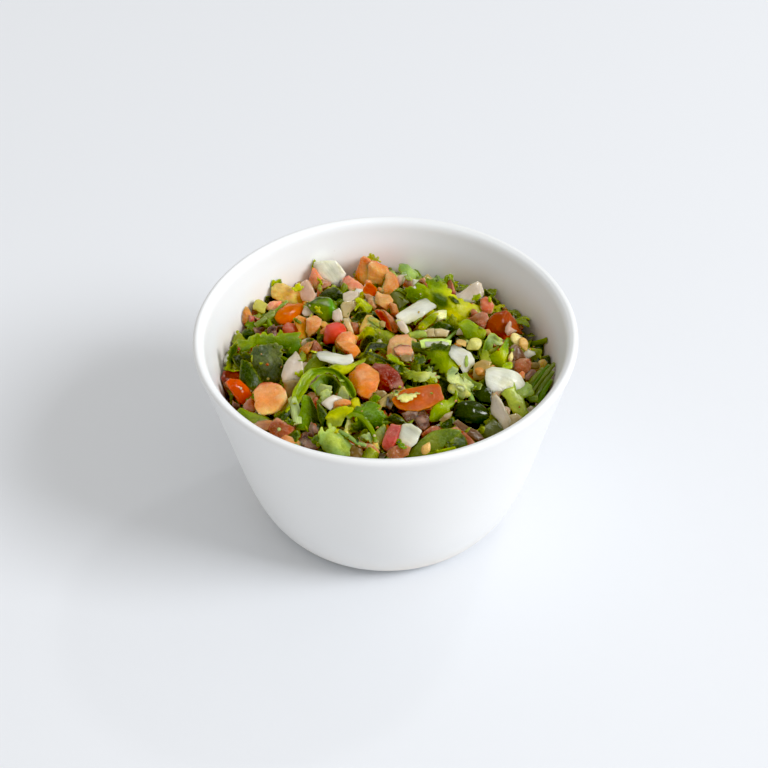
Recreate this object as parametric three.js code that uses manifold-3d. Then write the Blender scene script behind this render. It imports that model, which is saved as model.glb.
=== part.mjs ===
// A small white porcelain bowl filled with pico de gallo.
//
// Two solids, in millimetres, +Z up, with the origin on the table under the
// middle of the bowl's foot:
//   bowl       one turned porcelain body: flat foot ring, rounded lower corner,
//              straight flaring wall and a rounded lip
//   pico_heap  the whole filling as one solid: it fills the bowl from the inner
//              floor to a low mound, whose uneven top is made of diced tomato,
//              diced onion, chopped leaves and short stems
import * as THREE from 'three';
import { mergeVertices } from 'three/addons/utils/BufferGeometryUtils.js';
import Module from 'manifold-3d';

// ---- driving dimensions, mm -------------------------------------------------
const RIM_RADIUS = 55.0;        // outside of the lip
const HEIGHT = 64.5;            // table to the top of the lip
const WALL = 3.3;               // wall thickness at the lip, measured across
const FLOOR = 4.6;              // inner floor above the table
const KNEE_Z = 22.2;            // where the straight wall ends and the corner begins
const KNEE_RADIUS = 44.2;       // outer radius there
const FOOT_RADIUS = 30.0;       // outer edge of the foot ring
const FOOT_RING = 4.6;          // width of the foot ring
const FOOT_RECESS = 1.2;        // hollow inside the foot ring
const INNER_FLOOR_RADIUS = 26.5;

const GAP = 0.3;                // filling to porcelain
const FILL_EDGE_Z = 46.4;       // filling's base level at the wall
const MOUND = 5.2;              // how much higher the base level is in the middle
const HEAP_TOP_Z = 57.6;        // nothing of the filling stands above this

const DICE = 66;                // tomato and onion pieces that break the surface
const DICE_SIZE = [5.5, 9.5];
const LEAVES = 24;              // chopped leaf pieces
const LEAF_LENGTH = [11, 17];
const LEAF_THICKNESS = 1.1;
const STEMS = 8;
const STEM_RADIUS = 1.0;
const STEM_LENGTH = [12, 20];

const SEGMENTS = 64;            // round the bowl
const FILL_SEGMENTS = 32;       // round the filling

// ---- helpers ----------------------------------------------------------------
const wasm = await Module();
wasm.setup();

// A repeatable number from 0 to 1 for a counter and a channel.
function hash(i, channel) {
  const s = Math.sin(i * 127.1 + channel * 311.7 + 17.3) * 43758.5453;
  return s - Math.floor(s);
}
const between = (range, t) => range[0] + (range[1] - range[0]) * t;

// A quarter-turn blend from a to b that heads for the corner c.
function corner(a, c, b, steps) {
  const out = [];
  for (let i = 1; i < steps; i++) {
    const t = i / steps, u = 1 - t;
    out.push(new THREE.Vector2(
      u * u * a.x + 2 * u * t * c.x + t * t * b.x,
      u * u * a.y + 2 * u * t * c.y + t * t * b.y));
  }
  return out;
}

// A closed profile (radius, height) turned about +Z.
function turned(points, segments) {
  return new THREE.LatheGeometry(points, segments).rotateX(Math.PI / 2);
}

function toManifold(geometry) {
  const bare = geometry.index ? geometry.toNonIndexed() : geometry.clone();
  for (const name of Object.keys(bare.attributes)) {
    if (name !== 'position') bare.deleteAttribute(name);
  }
  const merged = mergeVertices(bare, 1e-4);
  return new wasm.Manifold(new wasm.Mesh({
    numProp: 3,
    vertProperties: new Float32Array(merged.attributes.position.array),
    triVerts: new Uint32Array(merged.index.array),
  }));
}

function toGeometry(solid) {
  const m = solid.getMesh();
  const p = new Float32Array(m.numVert * 3);
  for (let i = 0; i < m.numVert; i++) {
    p.set(m.vertProperties.subarray(i * m.numProp, i * m.numProp + 3), i * 3);
  }
  return new THREE.BufferGeometry()
    .setAttribute('position', new THREE.BufferAttribute(p, 3))
    .setIndex(new THREE.BufferAttribute(new Uint32Array(m.triVerts), 1));
}

// ---- bowl -------------------------------------------------------------------
const lipRadius = WALL / 2;
const lipZ = HEIGHT - lipRadius;
const slope = (RIM_RADIUS - KNEE_RADIUS) / (lipZ - KNEE_Z);

// Inner wall radius at a height, on its straight stretch.
const innerRadius = (z) => RIM_RADIUS - WALL - slope * (lipZ - z);

// The inner surface from the axis to the lip, moved in by `inset`.
function innerProfile(inset, topZ, steps) {
  const kneeZ = KNEE_Z + 1.5;
  const knee = new THREE.Vector2(innerRadius(kneeZ) - inset, kneeZ);
  const floorZ = FLOOR + inset;
  const aim = new THREE.Vector2(innerRadius(floorZ) - inset, floorZ);
  const floor = new THREE.Vector2(INNER_FLOOR_RADIUS - inset, floorZ);
  return [
    new THREE.Vector2(0, floorZ),
    floor,
    ...corner(floor, aim, knee, steps),
    knee,
    new THREE.Vector2(innerRadius(topZ) - inset, topZ),
  ];
}

function bowlProfile() {
  const v = (r, z) => new THREE.Vector2(r, z);
  const footOut = v(FOOT_RADIUS + 0.9, 0.7);
  const knee = v(KNEE_RADIUS, KNEE_Z);
  const aim = v(KNEE_RADIUS - slope * KNEE_Z, 0.2);
  const points = [
    v(0, FOOT_RECESS),
    v(FOOT_RADIUS - FOOT_RING - 1.2, FOOT_RECESS),
    v(FOOT_RADIUS - FOOT_RING, 0),
    v(FOOT_RADIUS, 0),
    footOut,
    ...corner(footOut, aim, knee, 7),
    knee,
    v((KNEE_RADIUS + RIM_RADIUS) / 2, (KNEE_Z + lipZ) / 2),
  ];
  const lipSteps = 6;
  for (let i = 0; i <= lipSteps; i++) {
    const a = Math.PI * i / lipSteps;
    points.push(v(RIM_RADIUS - lipRadius + lipRadius * Math.cos(a),
      lipZ + lipRadius * Math.sin(a)));
  }
  const inside = innerProfile(0, lipZ, 6);
  inside.pop();                       // the lip already ends there
  return [...points, ...inside.reverse()];
}

const bowl = new THREE.Mesh(
  turned(bowlProfile(), SEGMENTS),
  new THREE.MeshStandardMaterial({ color: 0xf4f5f6, roughness: 0.12, metalness: 0 }));
bowl.name = 'bowl';

// ---- filling ----------------------------------------------------------------
const fillRadius = innerRadius(FILL_EDGE_Z) - GAP;

// The mound's base level at a distance from the axis.
const level = (r) => FILL_EDGE_Z + MOUND * (1 - (r / fillRadius) ** 2);

function moundSolid() {
  const points = innerProfile(GAP, FILL_EDGE_Z, 5);
  const rings = 5;
  for (let i = 1; i <= rings; i++) {
    const r = fillRadius * (1 - i / rings);
    points.push(new THREE.Vector2(r, level(r)));
  }
  return toManifold(turned(points, FILL_SEGMENTS));
}

// The room inside the bowl, which the pieces are trimmed to.
function roomSolid() {
  const points = innerProfile(GAP, HEAP_TOP_Z, 5);
  points.push(new THREE.Vector2(0, HEAP_TOP_Z));
  return toManifold(turned(points, FILL_SEGMENTS));
}

// Spreads n pieces evenly over the mound, by the sunflower rule with some play.
function spot(i, n, channel, margin) {
  const r = (fillRadius - margin) * Math.sqrt((i + 0.25 + 0.5 * hash(i, channel)) / n);
  const a = i * 2.399963 + channel + (hash(i, channel + 1) - 0.5) * 0.5;
  return new THREE.Vector3(r * Math.cos(a), r * Math.sin(a), level(r));
}

function placed(geometry, at, turn) {
  const m = new THREE.Matrix4().makeRotationFromEuler(turn).setPosition(at);
  return toManifold(geometry.applyMatrix4(m));
}

// A die with its top narrower than its base, as a hand-cut piece is.
function dieGeometry(i) {
  const s = between(DICE_SIZE, hash(i, 3));
  const g = new THREE.BoxGeometry(s, s * between([0.62, 0.95], hash(i, 4)),
    s * between([0.6, 0.9], hash(i, 5)));
  const p = g.attributes.position;
  for (let k = 0; k < p.count; k++) {
    if (p.getZ(k) > 0) {
      p.setX(k, p.getX(k) * between([0.7, 0.95], hash(i, 6)));
      p.setY(k, p.getY(k) * between([0.7, 0.95], hash(i, 7)));
    }
  }
  return g;
}

// A leaf piece: three lobes at the tip and a cut, narrow base.
function leafGeometry(i) {
  const length = between(LEAF_LENGTH, hash(i, 13));
  const width = length * between([0.55, 0.8], hash(i, 14));
  const outline = new THREE.Shape();
  const lobes = 3, steps = 9;
  outline.moveTo(-length / 2, -width * 0.12);
  for (let k = 0; k <= steps; k++) {
    const t = k / steps;
    const a = (t - 0.5) * Math.PI * 1.5;
    const reach = 0.86 + 0.14 * Math.cos(t * lobes * 2 * Math.PI + Math.PI);
    outline.lineTo(length * 0.08 + Math.cos(a) * length * 0.42 * reach,
      Math.sin(a) * width * 0.5 * reach);
  }
  outline.lineTo(-length / 2, width * 0.12);
  const g = new THREE.ExtrudeGeometry(outline, {
    depth: LEAF_THICKNESS, bevelEnabled: false, curveSegments: 1, steps: 1,
  });
  return g.translate(0, 0, -LEAF_THICKNESS / 2);
}

function fillingSolid() {
  let solid = moundSolid();
  for (let i = 0; i < DICE; i++) {
    const at = spot(i, DICE, 20, 2);
    at.z += between([-1.2, 1.6], hash(i, 8));
    const turn = new THREE.Euler((hash(i, 9) - 0.5) * 1.1, (hash(i, 10) - 0.5) * 1.1,
      hash(i, 11) * Math.PI * 2);
    solid = solid.add(placed(dieGeometry(i), at, turn));
  }
  for (let i = 0; i < LEAVES; i++) {
    const at = spot(i, LEAVES, 31, 5);
    at.z += between([1.2, 3.0], hash(i, 15));
    const turn = new THREE.Euler((hash(i, 16) - 0.5) * 1.3, (hash(i, 17) - 0.5) * 1.3,
      hash(i, 18) * Math.PI * 2);
    solid = solid.add(placed(leafGeometry(i), at, turn));
  }
  for (let i = 0; i < STEMS; i++) {
    const at = spot(i, STEMS, 43, 6);
    at.z += between([1.4, 3.2], hash(i, 19));
    const g = new THREE.CylinderGeometry(STEM_RADIUS, STEM_RADIUS,
      between(STEM_LENGTH, hash(i, 21)), 6);
    const turn = new THREE.Euler((hash(i, 22) - 0.5) * 0.7, 0, hash(i, 23) * Math.PI * 2);
    solid = solid.add(placed(g, at, turn));
  }
  // Trimmed to the room in the bowl, and freed of slivers.
  return solid.intersect(roomSolid()).simplify(0.2);
}

// Loose crumbs that the trimming cut off are dropped: the filling is one body.
function largest(solid) {
  return solid.decompose().sort((a, b) => b.volume() - a.volume())[0];
}

const heap = new THREE.Mesh(
  toGeometry(largest(fillingSolid())),
  new THREE.MeshStandardMaterial({ color: 0x8a8f3c, roughness: 0.35, metalness: 0 }));
heap.name = 'pico_heap';

const part = new THREE.Group();
part.name = 'pico_de_gallo_bowl';
part.add(bowl, heap);

export default part;
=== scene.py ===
import math

import bpy
import numpy as np
from mathutils import Matrix, Vector
from mathutils.bvhtree import BVHTree
from mathutils.geometry import delaunay_2d_cdt


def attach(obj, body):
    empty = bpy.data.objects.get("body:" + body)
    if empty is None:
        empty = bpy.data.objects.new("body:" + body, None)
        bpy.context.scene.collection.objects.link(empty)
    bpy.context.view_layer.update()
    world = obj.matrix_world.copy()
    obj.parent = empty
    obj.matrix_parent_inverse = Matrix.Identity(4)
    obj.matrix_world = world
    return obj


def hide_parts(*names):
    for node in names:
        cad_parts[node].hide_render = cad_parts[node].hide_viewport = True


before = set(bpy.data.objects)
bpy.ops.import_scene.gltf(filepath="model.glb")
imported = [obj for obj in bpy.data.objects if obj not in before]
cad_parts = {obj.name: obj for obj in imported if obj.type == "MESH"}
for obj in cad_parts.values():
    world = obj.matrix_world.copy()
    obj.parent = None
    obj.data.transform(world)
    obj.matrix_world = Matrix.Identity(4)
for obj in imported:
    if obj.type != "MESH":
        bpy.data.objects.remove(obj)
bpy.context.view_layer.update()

MM = 0.001

# ---------------------------------------------------------------- sizes, in millimetres
RIM_RADIUS, HEIGHT, WALL, FLOOR = 55.0, 64.5, 3.3, 4.6
LIP_R = WALL / 2
LIP_Z = HEIGHT - LIP_R
KNEE_Z, KNEE_R = 22.2, 44.2
SLOPE = (RIM_RADIUS - KNEE_R) / (LIP_Z - KNEE_Z)
INNER_KNEE_Z = 23.7
FOOT_R, FOOT_RING, RECESS = 30.0, 4.6, 1.2
FILL_EDGE_Z, MOUND, FILL_R = 46.4, 5.2, 47.03


def inner_radius(z):
    z = np.asarray(z, float)
    return RIM_RADIUS - WALL - SLOPE * (LIP_Z - z)


def level(r):
    return FILL_EDGE_Z + MOUND * (1.0 - np.minimum(np.asarray(r, float) / FILL_R, 1.0) ** 2)


# ---------------------------------------------------------------- camera
ELEV, DIST, FOCAL = 0.7142187428, 615.8514475, 2124.7856424
PAN, TILT, ROLL = -0.0009562815, -0.0070339409, -0.014709583
FRAME_PX = 768.0
BACK = np.array([0.0, -math.cos(ELEV), math.sin(ELEV)])
EYE = np.array([0.0, 0.0, 50.0]) + BACK * DIST
_fwd = -BACK
_right = np.array([1.0, 0.0, 0.0])
_up = np.cross(_right, _fwd)
_yv = _up * math.cos(TILT) - _fwd * math.sin(TILT)
_z2 = _up * math.sin(TILT) + _fwd * math.cos(TILT)
_xv = _right * math.cos(PAN) - _z2 * math.sin(PAN)
CAM_F = _right * math.sin(PAN) + _z2 * math.cos(PAN)
CAM_X = _xv * math.cos(ROLL) + _yv * math.sin(ROLL)
CAM_Y = -_xv * math.sin(ROLL) + _yv * math.cos(ROLL)


def make_camera():
    data = bpy.data.cameras.new("camera")
    data.sensor_fit = "HORIZONTAL"
    data.sensor_width = 36.0
    data.lens = FOCAL / FRAME_PX * 36.0
    data.clip_start, data.clip_end = 0.01, 20.0
    cam = bpy.data.objects.new("camera", data)
    m = Matrix.Identity(4)
    for i in range(3):
        m[i][0], m[i][1], m[i][2], m[i][3] = CAM_X[i], CAM_Y[i], -CAM_F[i], EYE[i] * MM
    cam.matrix_world = m
    bpy.context.scene.collection.objects.link(cam)
    bpy.context.scene.camera = cam
    return cam


def ray(x, y):
    return CAM_F * FOCAL + CAM_X * (x - 384.0) - CAM_Y * (y - 384.0)


def on_level(x, y, h):
    """The point of the sight line through (x, y) that is h above the fill."""
    d = ray(x, y)
    z = 50.0 + h
    for _ in range(8):
        p = EYE + d * ((z - EYE[2]) / d[2])
        z = float(level(math.hypot(p[0], p[1]))) + h
    return EYE + d * ((z - EYE[2]) / d[2])


def on_plane(x, y, c, n):
    d = ray(x, y)
    return EYE + d * (((c - EYE) @ n) / (d @ n))


# ---------------------------------------------------------------- numbers and noise
def lin(rgb):
    c = np.asarray(rgb, float) / 255.0
    return np.where(c <= 0.04045, c / 12.92, ((c + 0.055) / 1.055) ** 2.4)


def smooth(a, b, x):
    t = np.clip((np.asarray(x, float) - a) / (b - a), 0.0, 1.0)
    return t * t * (3.0 - 2.0 * t)


def _hash(ix, iy, iz, seed):
    h = (ix * 374761393 + iy * 668265263 + iz * 1442695041 + seed * 974634777) & 0xFFFFFFFF
    h = ((h ^ (h >> 13)) * 1274126177) & 0xFFFFFFFF
    h = ((h ^ (h >> 15)) * 2246822519) & 0xFFFFFFFF
    return ((h ^ (h >> 16)) & 0xFFFF) / 32767.5 - 1.0


def noise(p, scale, seed=0):
    """Value noise from -1 to 1 of points p, scale cycles a millimetre."""
    q = np.asarray(p, float) * scale + 1000.0
    i = np.floor(q).astype(np.int64)
    f = q - i
    f = f * f * f * (f * (f * 6.0 - 15.0) + 10.0)
    out = 0.0
    for dx in (0, 1):
        wx = f[:, 0] if dx else 1.0 - f[:, 0]
        for dy in (0, 1):
            wy = f[:, 1] if dy else 1.0 - f[:, 1]
            for dz in (0, 1):
                wz = f[:, 2] if dz else 1.0 - f[:, 2]
                out = out + _hash(i[:, 0] + dx, i[:, 1] + dy, i[:, 2] + dz, seed) * wx * wy * wz
    return out


def fbm(p, scale, seed=0, octaves=3, gain=0.5):
    out, a, t = 0.0, 1.0, 0.0
    for k in range(octaves):
        out = out + a * noise(p, scale * 2.0 ** k, seed + 17 * k)
        t += a
        a *= gain
    return out / t


def cells(p2, scale, seed):
    """Distances to the nearest and the second nearest of scattered points, scale of them a millimetre."""
    q = np.asarray(p2, float)[:, :2] * scale + 500.0
    i = np.floor(q).astype(np.int64)
    near, second = np.full(len(q), 9.0), np.full(len(q), 9.0)
    zero = np.zeros(len(q), np.int64)
    for dx in (-1, 0, 1):
        for dy in (-1, 0, 1):
            a, b = i[:, 0] + dx, i[:, 1] + dy
            d = np.hypot(q[:, 0] - a - 0.5 - 0.42 * _hash(a, b, zero, seed), q[:, 1] - b - 0.5 - 0.42 * _hash(a, b, zero + 7, seed))
            second = np.where(d < near, near, np.minimum(second, d))
            near = np.minimum(near, d)
    return near, second


def normals_of(v, f):
    a, b, c = v[f[:, 0]], v[f[:, 1]], v[f[:, 2]]
    fn = np.cross(b - a, c - a)
    n = np.zeros_like(v)
    for k in range(3):
        np.add.at(n, f[:, k], fn)
    length = np.linalg.norm(n, axis=1, keepdims=True)
    return n / np.maximum(length, 1e-12)


# ---------------------------------------------------------------- kinds: what is gathered into one object each
class Kind:
    # a factor on the colour of each piece added; below 1 it is painted shade on pieces lying low between others
    shade = 1.0

    def __init__(self, name):
        self.name = name
        self.v, self.f, self.col, self.loc, self.mask = [], [], [], [], []
        self.count, self.pieces = 0, 0

    def add(self, v, f, col, loc, mask):
        self.v.append(v)
        self.f.append(f + self.count)
        self.col.append(np.broadcast_to(col, v.shape) * Kind.shade)
        self.loc.append(loc)
        self.mask.append(np.broadcast_to(np.asarray(mask, float), (len(v),)).copy())
        self.count += len(v)
        self.pieces += 1

    def build(self, material, sharp=None):
        v = np.concatenate(self.v)
        f = np.concatenate(self.f)
        print(f"{self.name}: {self.pieces} pieces, {len(f)} triangles")
        o = mesh_object(self.name, v, f, material)
        me = o.data
        c = np.ones((len(v), 4), np.float32)
        c[:, :3] = np.clip(np.concatenate(self.col), 0.0, 1.0)
        me.attributes.new("col", "FLOAT_COLOR", "POINT").data.foreach_set("color", c.ravel())
        me.attributes.new("loc", "FLOAT_VECTOR", "POINT").data.foreach_set("vector", np.concatenate(self.loc).astype(np.float32).ravel())
        me.attributes.new("mask", "FLOAT", "POINT").data.foreach_set("value", np.concatenate(self.mask).astype(np.float32))
        if sharp:
            me.set_sharp_from_angle(angle=math.radians(sharp))
        return o


def mesh_object(name, v, f, material, quads=None):
    me = bpy.data.meshes.new(name)
    nq = 0 if quads is None else len(quads)
    nt = len(f)
    me.vertices.add(len(v))
    me.vertices.foreach_set("co", (np.asarray(v) * MM).astype(np.float32).ravel())
    me.loops.add(nt * 3 + nq * 4)
    idx = np.asarray(f).ravel() if nt else np.zeros(0, int)
    if nq:
        idx = np.concatenate([idx, np.asarray(quads).ravel()])
    me.loops.foreach_set("vertex_index", idx.astype(np.int32))
    me.polygons.add(nt + nq)
    start = np.concatenate([np.arange(nt) * 3, nt * 3 + np.arange(nq) * 4]).astype(np.int32)
    me.polygons.foreach_set("loop_start", start)
    me.update(calc_edges=True)
    me.validate()
    me.shade_smooth()
    o = bpy.data.objects.new(name, me)
    bpy.context.scene.collection.objects.link(o)
    if material is not None:
        me.materials.append(material)
    return o


KINDS = {n: Kind(n) for n in ("tomato_dice", "onion_dice", "chilli_dice", "cilantro_leaves", "green_stems", "seeds", "crumbs")}


# ---------------------------------------------------------------- colours, as sRGB
# skin, flesh under the skin, inner flesh
TOMATO = {
    "orange": ((219, 86, 4), (236, 124, 21), (244, 159, 44)),
    "salmon": ((216, 99, 45), (230, 144, 75), (238, 188, 110)),
    "amber": ((209, 109, 7), (223, 143, 31), (236, 186, 69)),
    "peach": ((166, 72, 21), (176, 111, 66), (181, 139, 92)),
    "crimson": ((164, 34, 39), (186, 55, 59), (212, 105, 98)),
    "red": ((188, 39, 22), (203, 69, 50), (218, 120, 92)),
    "pink": ((216, 76, 52), (238, 129, 94), (251, 168, 128)),
    "rose": ((128, 40, 20), (152, 70, 38), (174, 104, 60)),
    # dark is a deep red, partly the flesh's own colour and partly painted shade; brown is near-black red, painted shade
    # for tomato lying in shadow between other pieces
    "dark": ((118, 11, 2), (130, 19, 2), (147, 33, 5)),
    "brown": ((53, 7, 2), (63, 13, 2), (74, 21, 2)),
    "olive": ((217, 180, 66), (222, 189, 76), (241, 206, 103)),
    "plum": ((112, 40, 16), (132, 56, 26), (152, 84, 42)),
    "skin": ((196, 80, 2), (203, 96, 2), (200, 92, 3)),
    "redskin": ((159, 26, 2), (167, 31, 2), (146, 31, 2)),
}
# cut face, outer film
ONION = {
    "white": ((229, 216, 203), (221, 209, 191)),
    "cream": ((205, 177, 110), (192, 165, 98)),
    "greenwhite": ((252, 252, 242), (242, 248, 217)),
    "pinkwhite": ((240, 229, 216), (236, 218, 200)),
    "pinkclear": ((233, 195, 175), (221, 177, 160)),
    "clear": ((224, 203, 156), (209, 187, 139)),
    "greenclear": ((160, 138, 88), (148, 126, 74)),
    "lime": ((218, 210, 110), (193, 188, 75)),
    # grey: a brownish grey that is partly painted shade, for onion lying in shadow
    "grey": ((122, 86, 58), (110, 74, 46)),
    "tan": ((133, 103, 40), (123, 92, 34)),
}
# skin, flesh
CHILLI = {
    "green": ((104, 127, 9), (176, 190, 72)),
    "dark": ((42, 56, 12), (78, 88, 24)),
    "light": ((134, 178, 50), (210, 236, 134)),
    "olive": ((60, 68, 18), (98, 104, 44)),
    "lime": ((160, 182, 14), (196, 206, 70)),
}
# face, back
LEAF = {
    "bright": ((127, 150, 2), (112, 137, 2)),
    "lime": ((188, 195, 21), (169, 181, 33)),
    "mid": ((40, 62, 2), (38, 58, 2)),
    "green": ((86, 125, 6), (94, 127, 14)),
    "dull": ((109, 127, 47), (106, 123, 49)),
    # dark: a dark green that is partly painted shade, for leaves lying in shadow under others
    "dark": ((26, 37, 4), (30, 42, 6)),
    "mottled": ((82, 93, 61), (82, 102, 58)),
    "pale": ((147, 176, 93), (133, 164, 85)),
    "wet": ((191, 204, 134), (178, 197, 129)),
    "olive": ((125, 139, 41), (117, 130, 49)),
}
SEED = {"pale": (238, 224, 150), "tan": (226, 184, 104), "brown": (206, 146, 66), "green": (214, 214, 118)}


# ---------------------------------------------------------------- generators
_cube = {}


def cube_sphere(n):
    """Directions over a cube's faces, shared along its edges, with triangles facing out."""
    if n in _cube:
        return _cube[n]
    a = np.tan(np.linspace(-math.pi / 4, math.pi / 4, n + 1))
    pts, quads = [], []
    for axis in range(3):
        for sign in (1.0, -1.0):
            u, w = np.meshgrid(a, a, indexing="ij")
            p = np.zeros((n + 1, n + 1, 3))
            p[..., axis] = sign
            p[..., (axis + 1) % 3] = u
            p[..., (axis + 2) % 3] = w
            base = sum(len(x) for x in pts)
            pts.append(p.reshape(-1, 3))
            i, j = np.meshgrid(np.arange(n), np.arange(n), indexing="ij")
            q = np.stack([i * (n + 1) + j, (i + 1) * (n + 1) + j, (i + 1) * (n + 1) + j + 1, i * (n + 1) + j + 1], -1).reshape(-1, 4)
            if sign < 0:
                q = q[:, ::-1]
            quads.append(q + base)
    p = np.concatenate(pts)
    q = np.concatenate(quads)
    _, first, inverse = np.unique(np.round(p, 6), axis=0, return_index=True, return_inverse=True)
    inverse = inverse.reshape(-1)
    p = p[first]
    q = inverse[q]
    f = np.concatenate([q[:, [0, 1, 2]], q[:, [0, 2, 3]]])
    p = p / np.linalg.norm(p, axis=1, keepdims=True)
    _cube[n] = (p, f)
    return _cube[n]


def bend_about(v, beta, radius):
    """Bends the piece so that its top is outside, over a cylinder whose axis runs at beta in the piece's plane."""
    c, s = math.cos(beta), math.sin(beta)
    along = v[:, 0] * c + v[:, 1] * s
    across = -v[:, 0] * s + v[:, 1] * c
    a = across / radius
    across2 = (radius + v[:, 2]) * np.sin(a)
    z2 = (radius + v[:, 2]) * np.cos(a) - radius
    return np.stack([along * c - across2 * s, along * s + across2 * c, z2], 1)


def keep_in(p, margin=0.35, top=58.6):
    """Holds points inside the bowl's wall and under the highest piece."""
    p = p.copy()
    high = p[:, 2] > top - 1.2
    p[high, 2] = top - 1.2 + 1.2 * np.tanh((p[high, 2] - top + 1.2) / 1.2)
    r = np.hypot(p[:, 0], p[:, 1])
    lim = inner_radius(p[:, 2]) - margin
    k = np.minimum(1.0, lim / np.maximum(r, 1e-6))
    p[:, 0] *= k
    p[:, 1] *= k
    return p


def frame_at(c, n, ang):
    """Axes in the plane with normal n, the first of which points at ang degrees in the camera's picture."""
    d = CAM_X * math.cos(math.radians(ang)) + CAM_Y * math.sin(math.radians(ang))
    u = d - CAM_F * ((d @ n) / (CAM_F @ n))
    u = u / np.linalg.norm(u)
    return u, np.cross(n, u)


def tilt_normal(psi, lam):
    """Up, leaned psi degrees to the front and lam degrees to the right."""
    a, b = math.radians(psi), math.radians(lam)
    return np.array([math.sin(b), -math.sin(a) * math.cos(b), math.cos(a) * math.cos(b)])


def cut_corners(p, share):
    """Takes each corner off at this share of its sides."""
    q = np.roll(p, -1, 0)
    return np.stack([p + (q - p) * share, q - (q - p) * share], 1).reshape(-1, 2)


def ccw(p):
    area = np.sum(p[:, 0] * np.roll(p[:, 1], -1) - p[:, 1] * np.roll(p[:, 0], -1))
    return p[::-1] if area < 0 else p


def border(f):
    e = np.concatenate([f[:, [0, 1]], f[:, [1, 2]], f[:, [2, 0]]])
    _, inverse, counts = np.unique(np.sort(e, 1), axis=0, return_inverse=True, return_counts=True)
    return e[counts[inverse.reshape(-1)] == 1]


def rim_normals(rim):
    t = np.roll(rim, -1, 0) - np.roll(rim, 1, 0)
    t /= np.maximum(np.linalg.norm(t, axis=1, keepdims=True), 1e-9)
    return np.stack([t[:, 1], -t[:, 0]], 1)


def solid(poly, z0, z1, step, rng, bevel=0.26, facets=3, slope=(0.25, 0.8), taper=0.94, lump=0.28, corner=0.04, wobble=0.12, bulge=0.10, dome=0.0):
    """A cut piece over an outline: a faceted, slightly uneven top, sides and an underside. Returns points, triangles, and each point's place in the outline's plane, distance to its edge, height share and outward direction."""
    poly = cut_corners(ccw(poly), corner)
    rim = resample(poly, step * 0.85)
    seed = int(rng.integers(1 << 20))
    flat = np.column_stack([rim, np.zeros(len(rim))])
    rim = rim + rim_normals(rim) * (wobble * (1.7 * fbm(flat, 0.45, seed, 2) - 0.9 * np.abs(noise(flat, 0.9, seed + 3))))[:, None]
    p2, f, d = fill_outline(rim, step, rng)
    e = border(f)
    ids, inv = np.unique(e, return_inverse=True)
    inv = inv.reshape(e.shape)
    k, n = len(ids), len(p2)
    t = p2[e[:, 1]] - p2[e[:, 0]]
    o = np.stack([t[:, 1], -t[:, 0]], 1)
    out = np.zeros((k, 2))
    np.add.at(out, inv[:, 0], o)
    np.add.at(out, inv[:, 1], o)
    out /= np.maximum(np.linalg.norm(out, axis=1, keepdims=True), 1e-9)
    q = np.column_stack([p2, np.zeros(n)])
    top = z1 + lump * fbm(q, 0.22, seed + 1, 2)
    for _ in range(facets):
        a = rng.uniform(0, 2 * math.pi)
        s = p2 @ np.array([math.cos(a), math.sin(a)])
        s = s - s.max() * rng.uniform(0.0, 0.6)
        top = top - rng.uniform(*slope) * np.logaddexp(0.0, s * 14.0) / 14.0
    if dome:
        top = top - dome * (p2 ** 2).sum(1) / (rim ** 2).sum(1).max()
    r = np.clip(1.0 - d / bevel, 0.0, 1.0)
    edge = bevel * (1.0 - np.sqrt(np.maximum(1.0 - r * r, 0.0)))
    top = np.maximum(top - 0.9 * edge, z0 + 0.35 * (z1 - z0))
    low = z0 + 0.8 * edge + 0.5 * lump * fbm(q, 0.25, seed + 2, 2)
    shift = rng.uniform(-0.05, 0.05, 2) * (z1 - z0)
    p2b = p2 * taper + shift
    m = int(np.clip(round((z1 - z0) / (1.5 * step)), 1, 5))
    rows = [np.column_stack([p2, top]), np.column_stack([p2b, low])]
    for i in range(1, m):
        w = i / m
        xy = p2[ids] * (1 - w) + p2b[ids] * w + out * (bulge * math.sin(math.pi * w))
        rows.append(np.column_stack([xy, top[ids] * (1 - w) + low[ids] * w]))
    v = np.concatenate(rows)
    rings = [ids] + [2 * n + i * k + np.arange(k) for i in range(m - 1)] + [ids + n]
    faces = [f, f[:, ::-1] + n]
    for i in range(m):
        a, b = rings[i], rings[i + 1]
        faces.append(np.stack([a[inv[:, 0]], b[inv[:, 0]], b[inv[:, 1]]], 1))
        faces.append(np.stack([a[inv[:, 0]], b[inv[:, 1]], a[inv[:, 1]]], 1))
    f = np.concatenate(faces)
    place = np.concatenate([p2, p2] + [p2[ids]] * (m - 1))
    dist = np.concatenate([d, d] + [np.zeros(k)] * (m - 1))
    share = np.concatenate([np.ones(n), np.zeros(n)] + [np.full(k, 1 - i / m) for i in range(1, m)])
    face_out = np.zeros((len(v), 2))
    for ring in rings:
        face_out[ring] = out
    return v, f, place, dist, share, face_out


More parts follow.
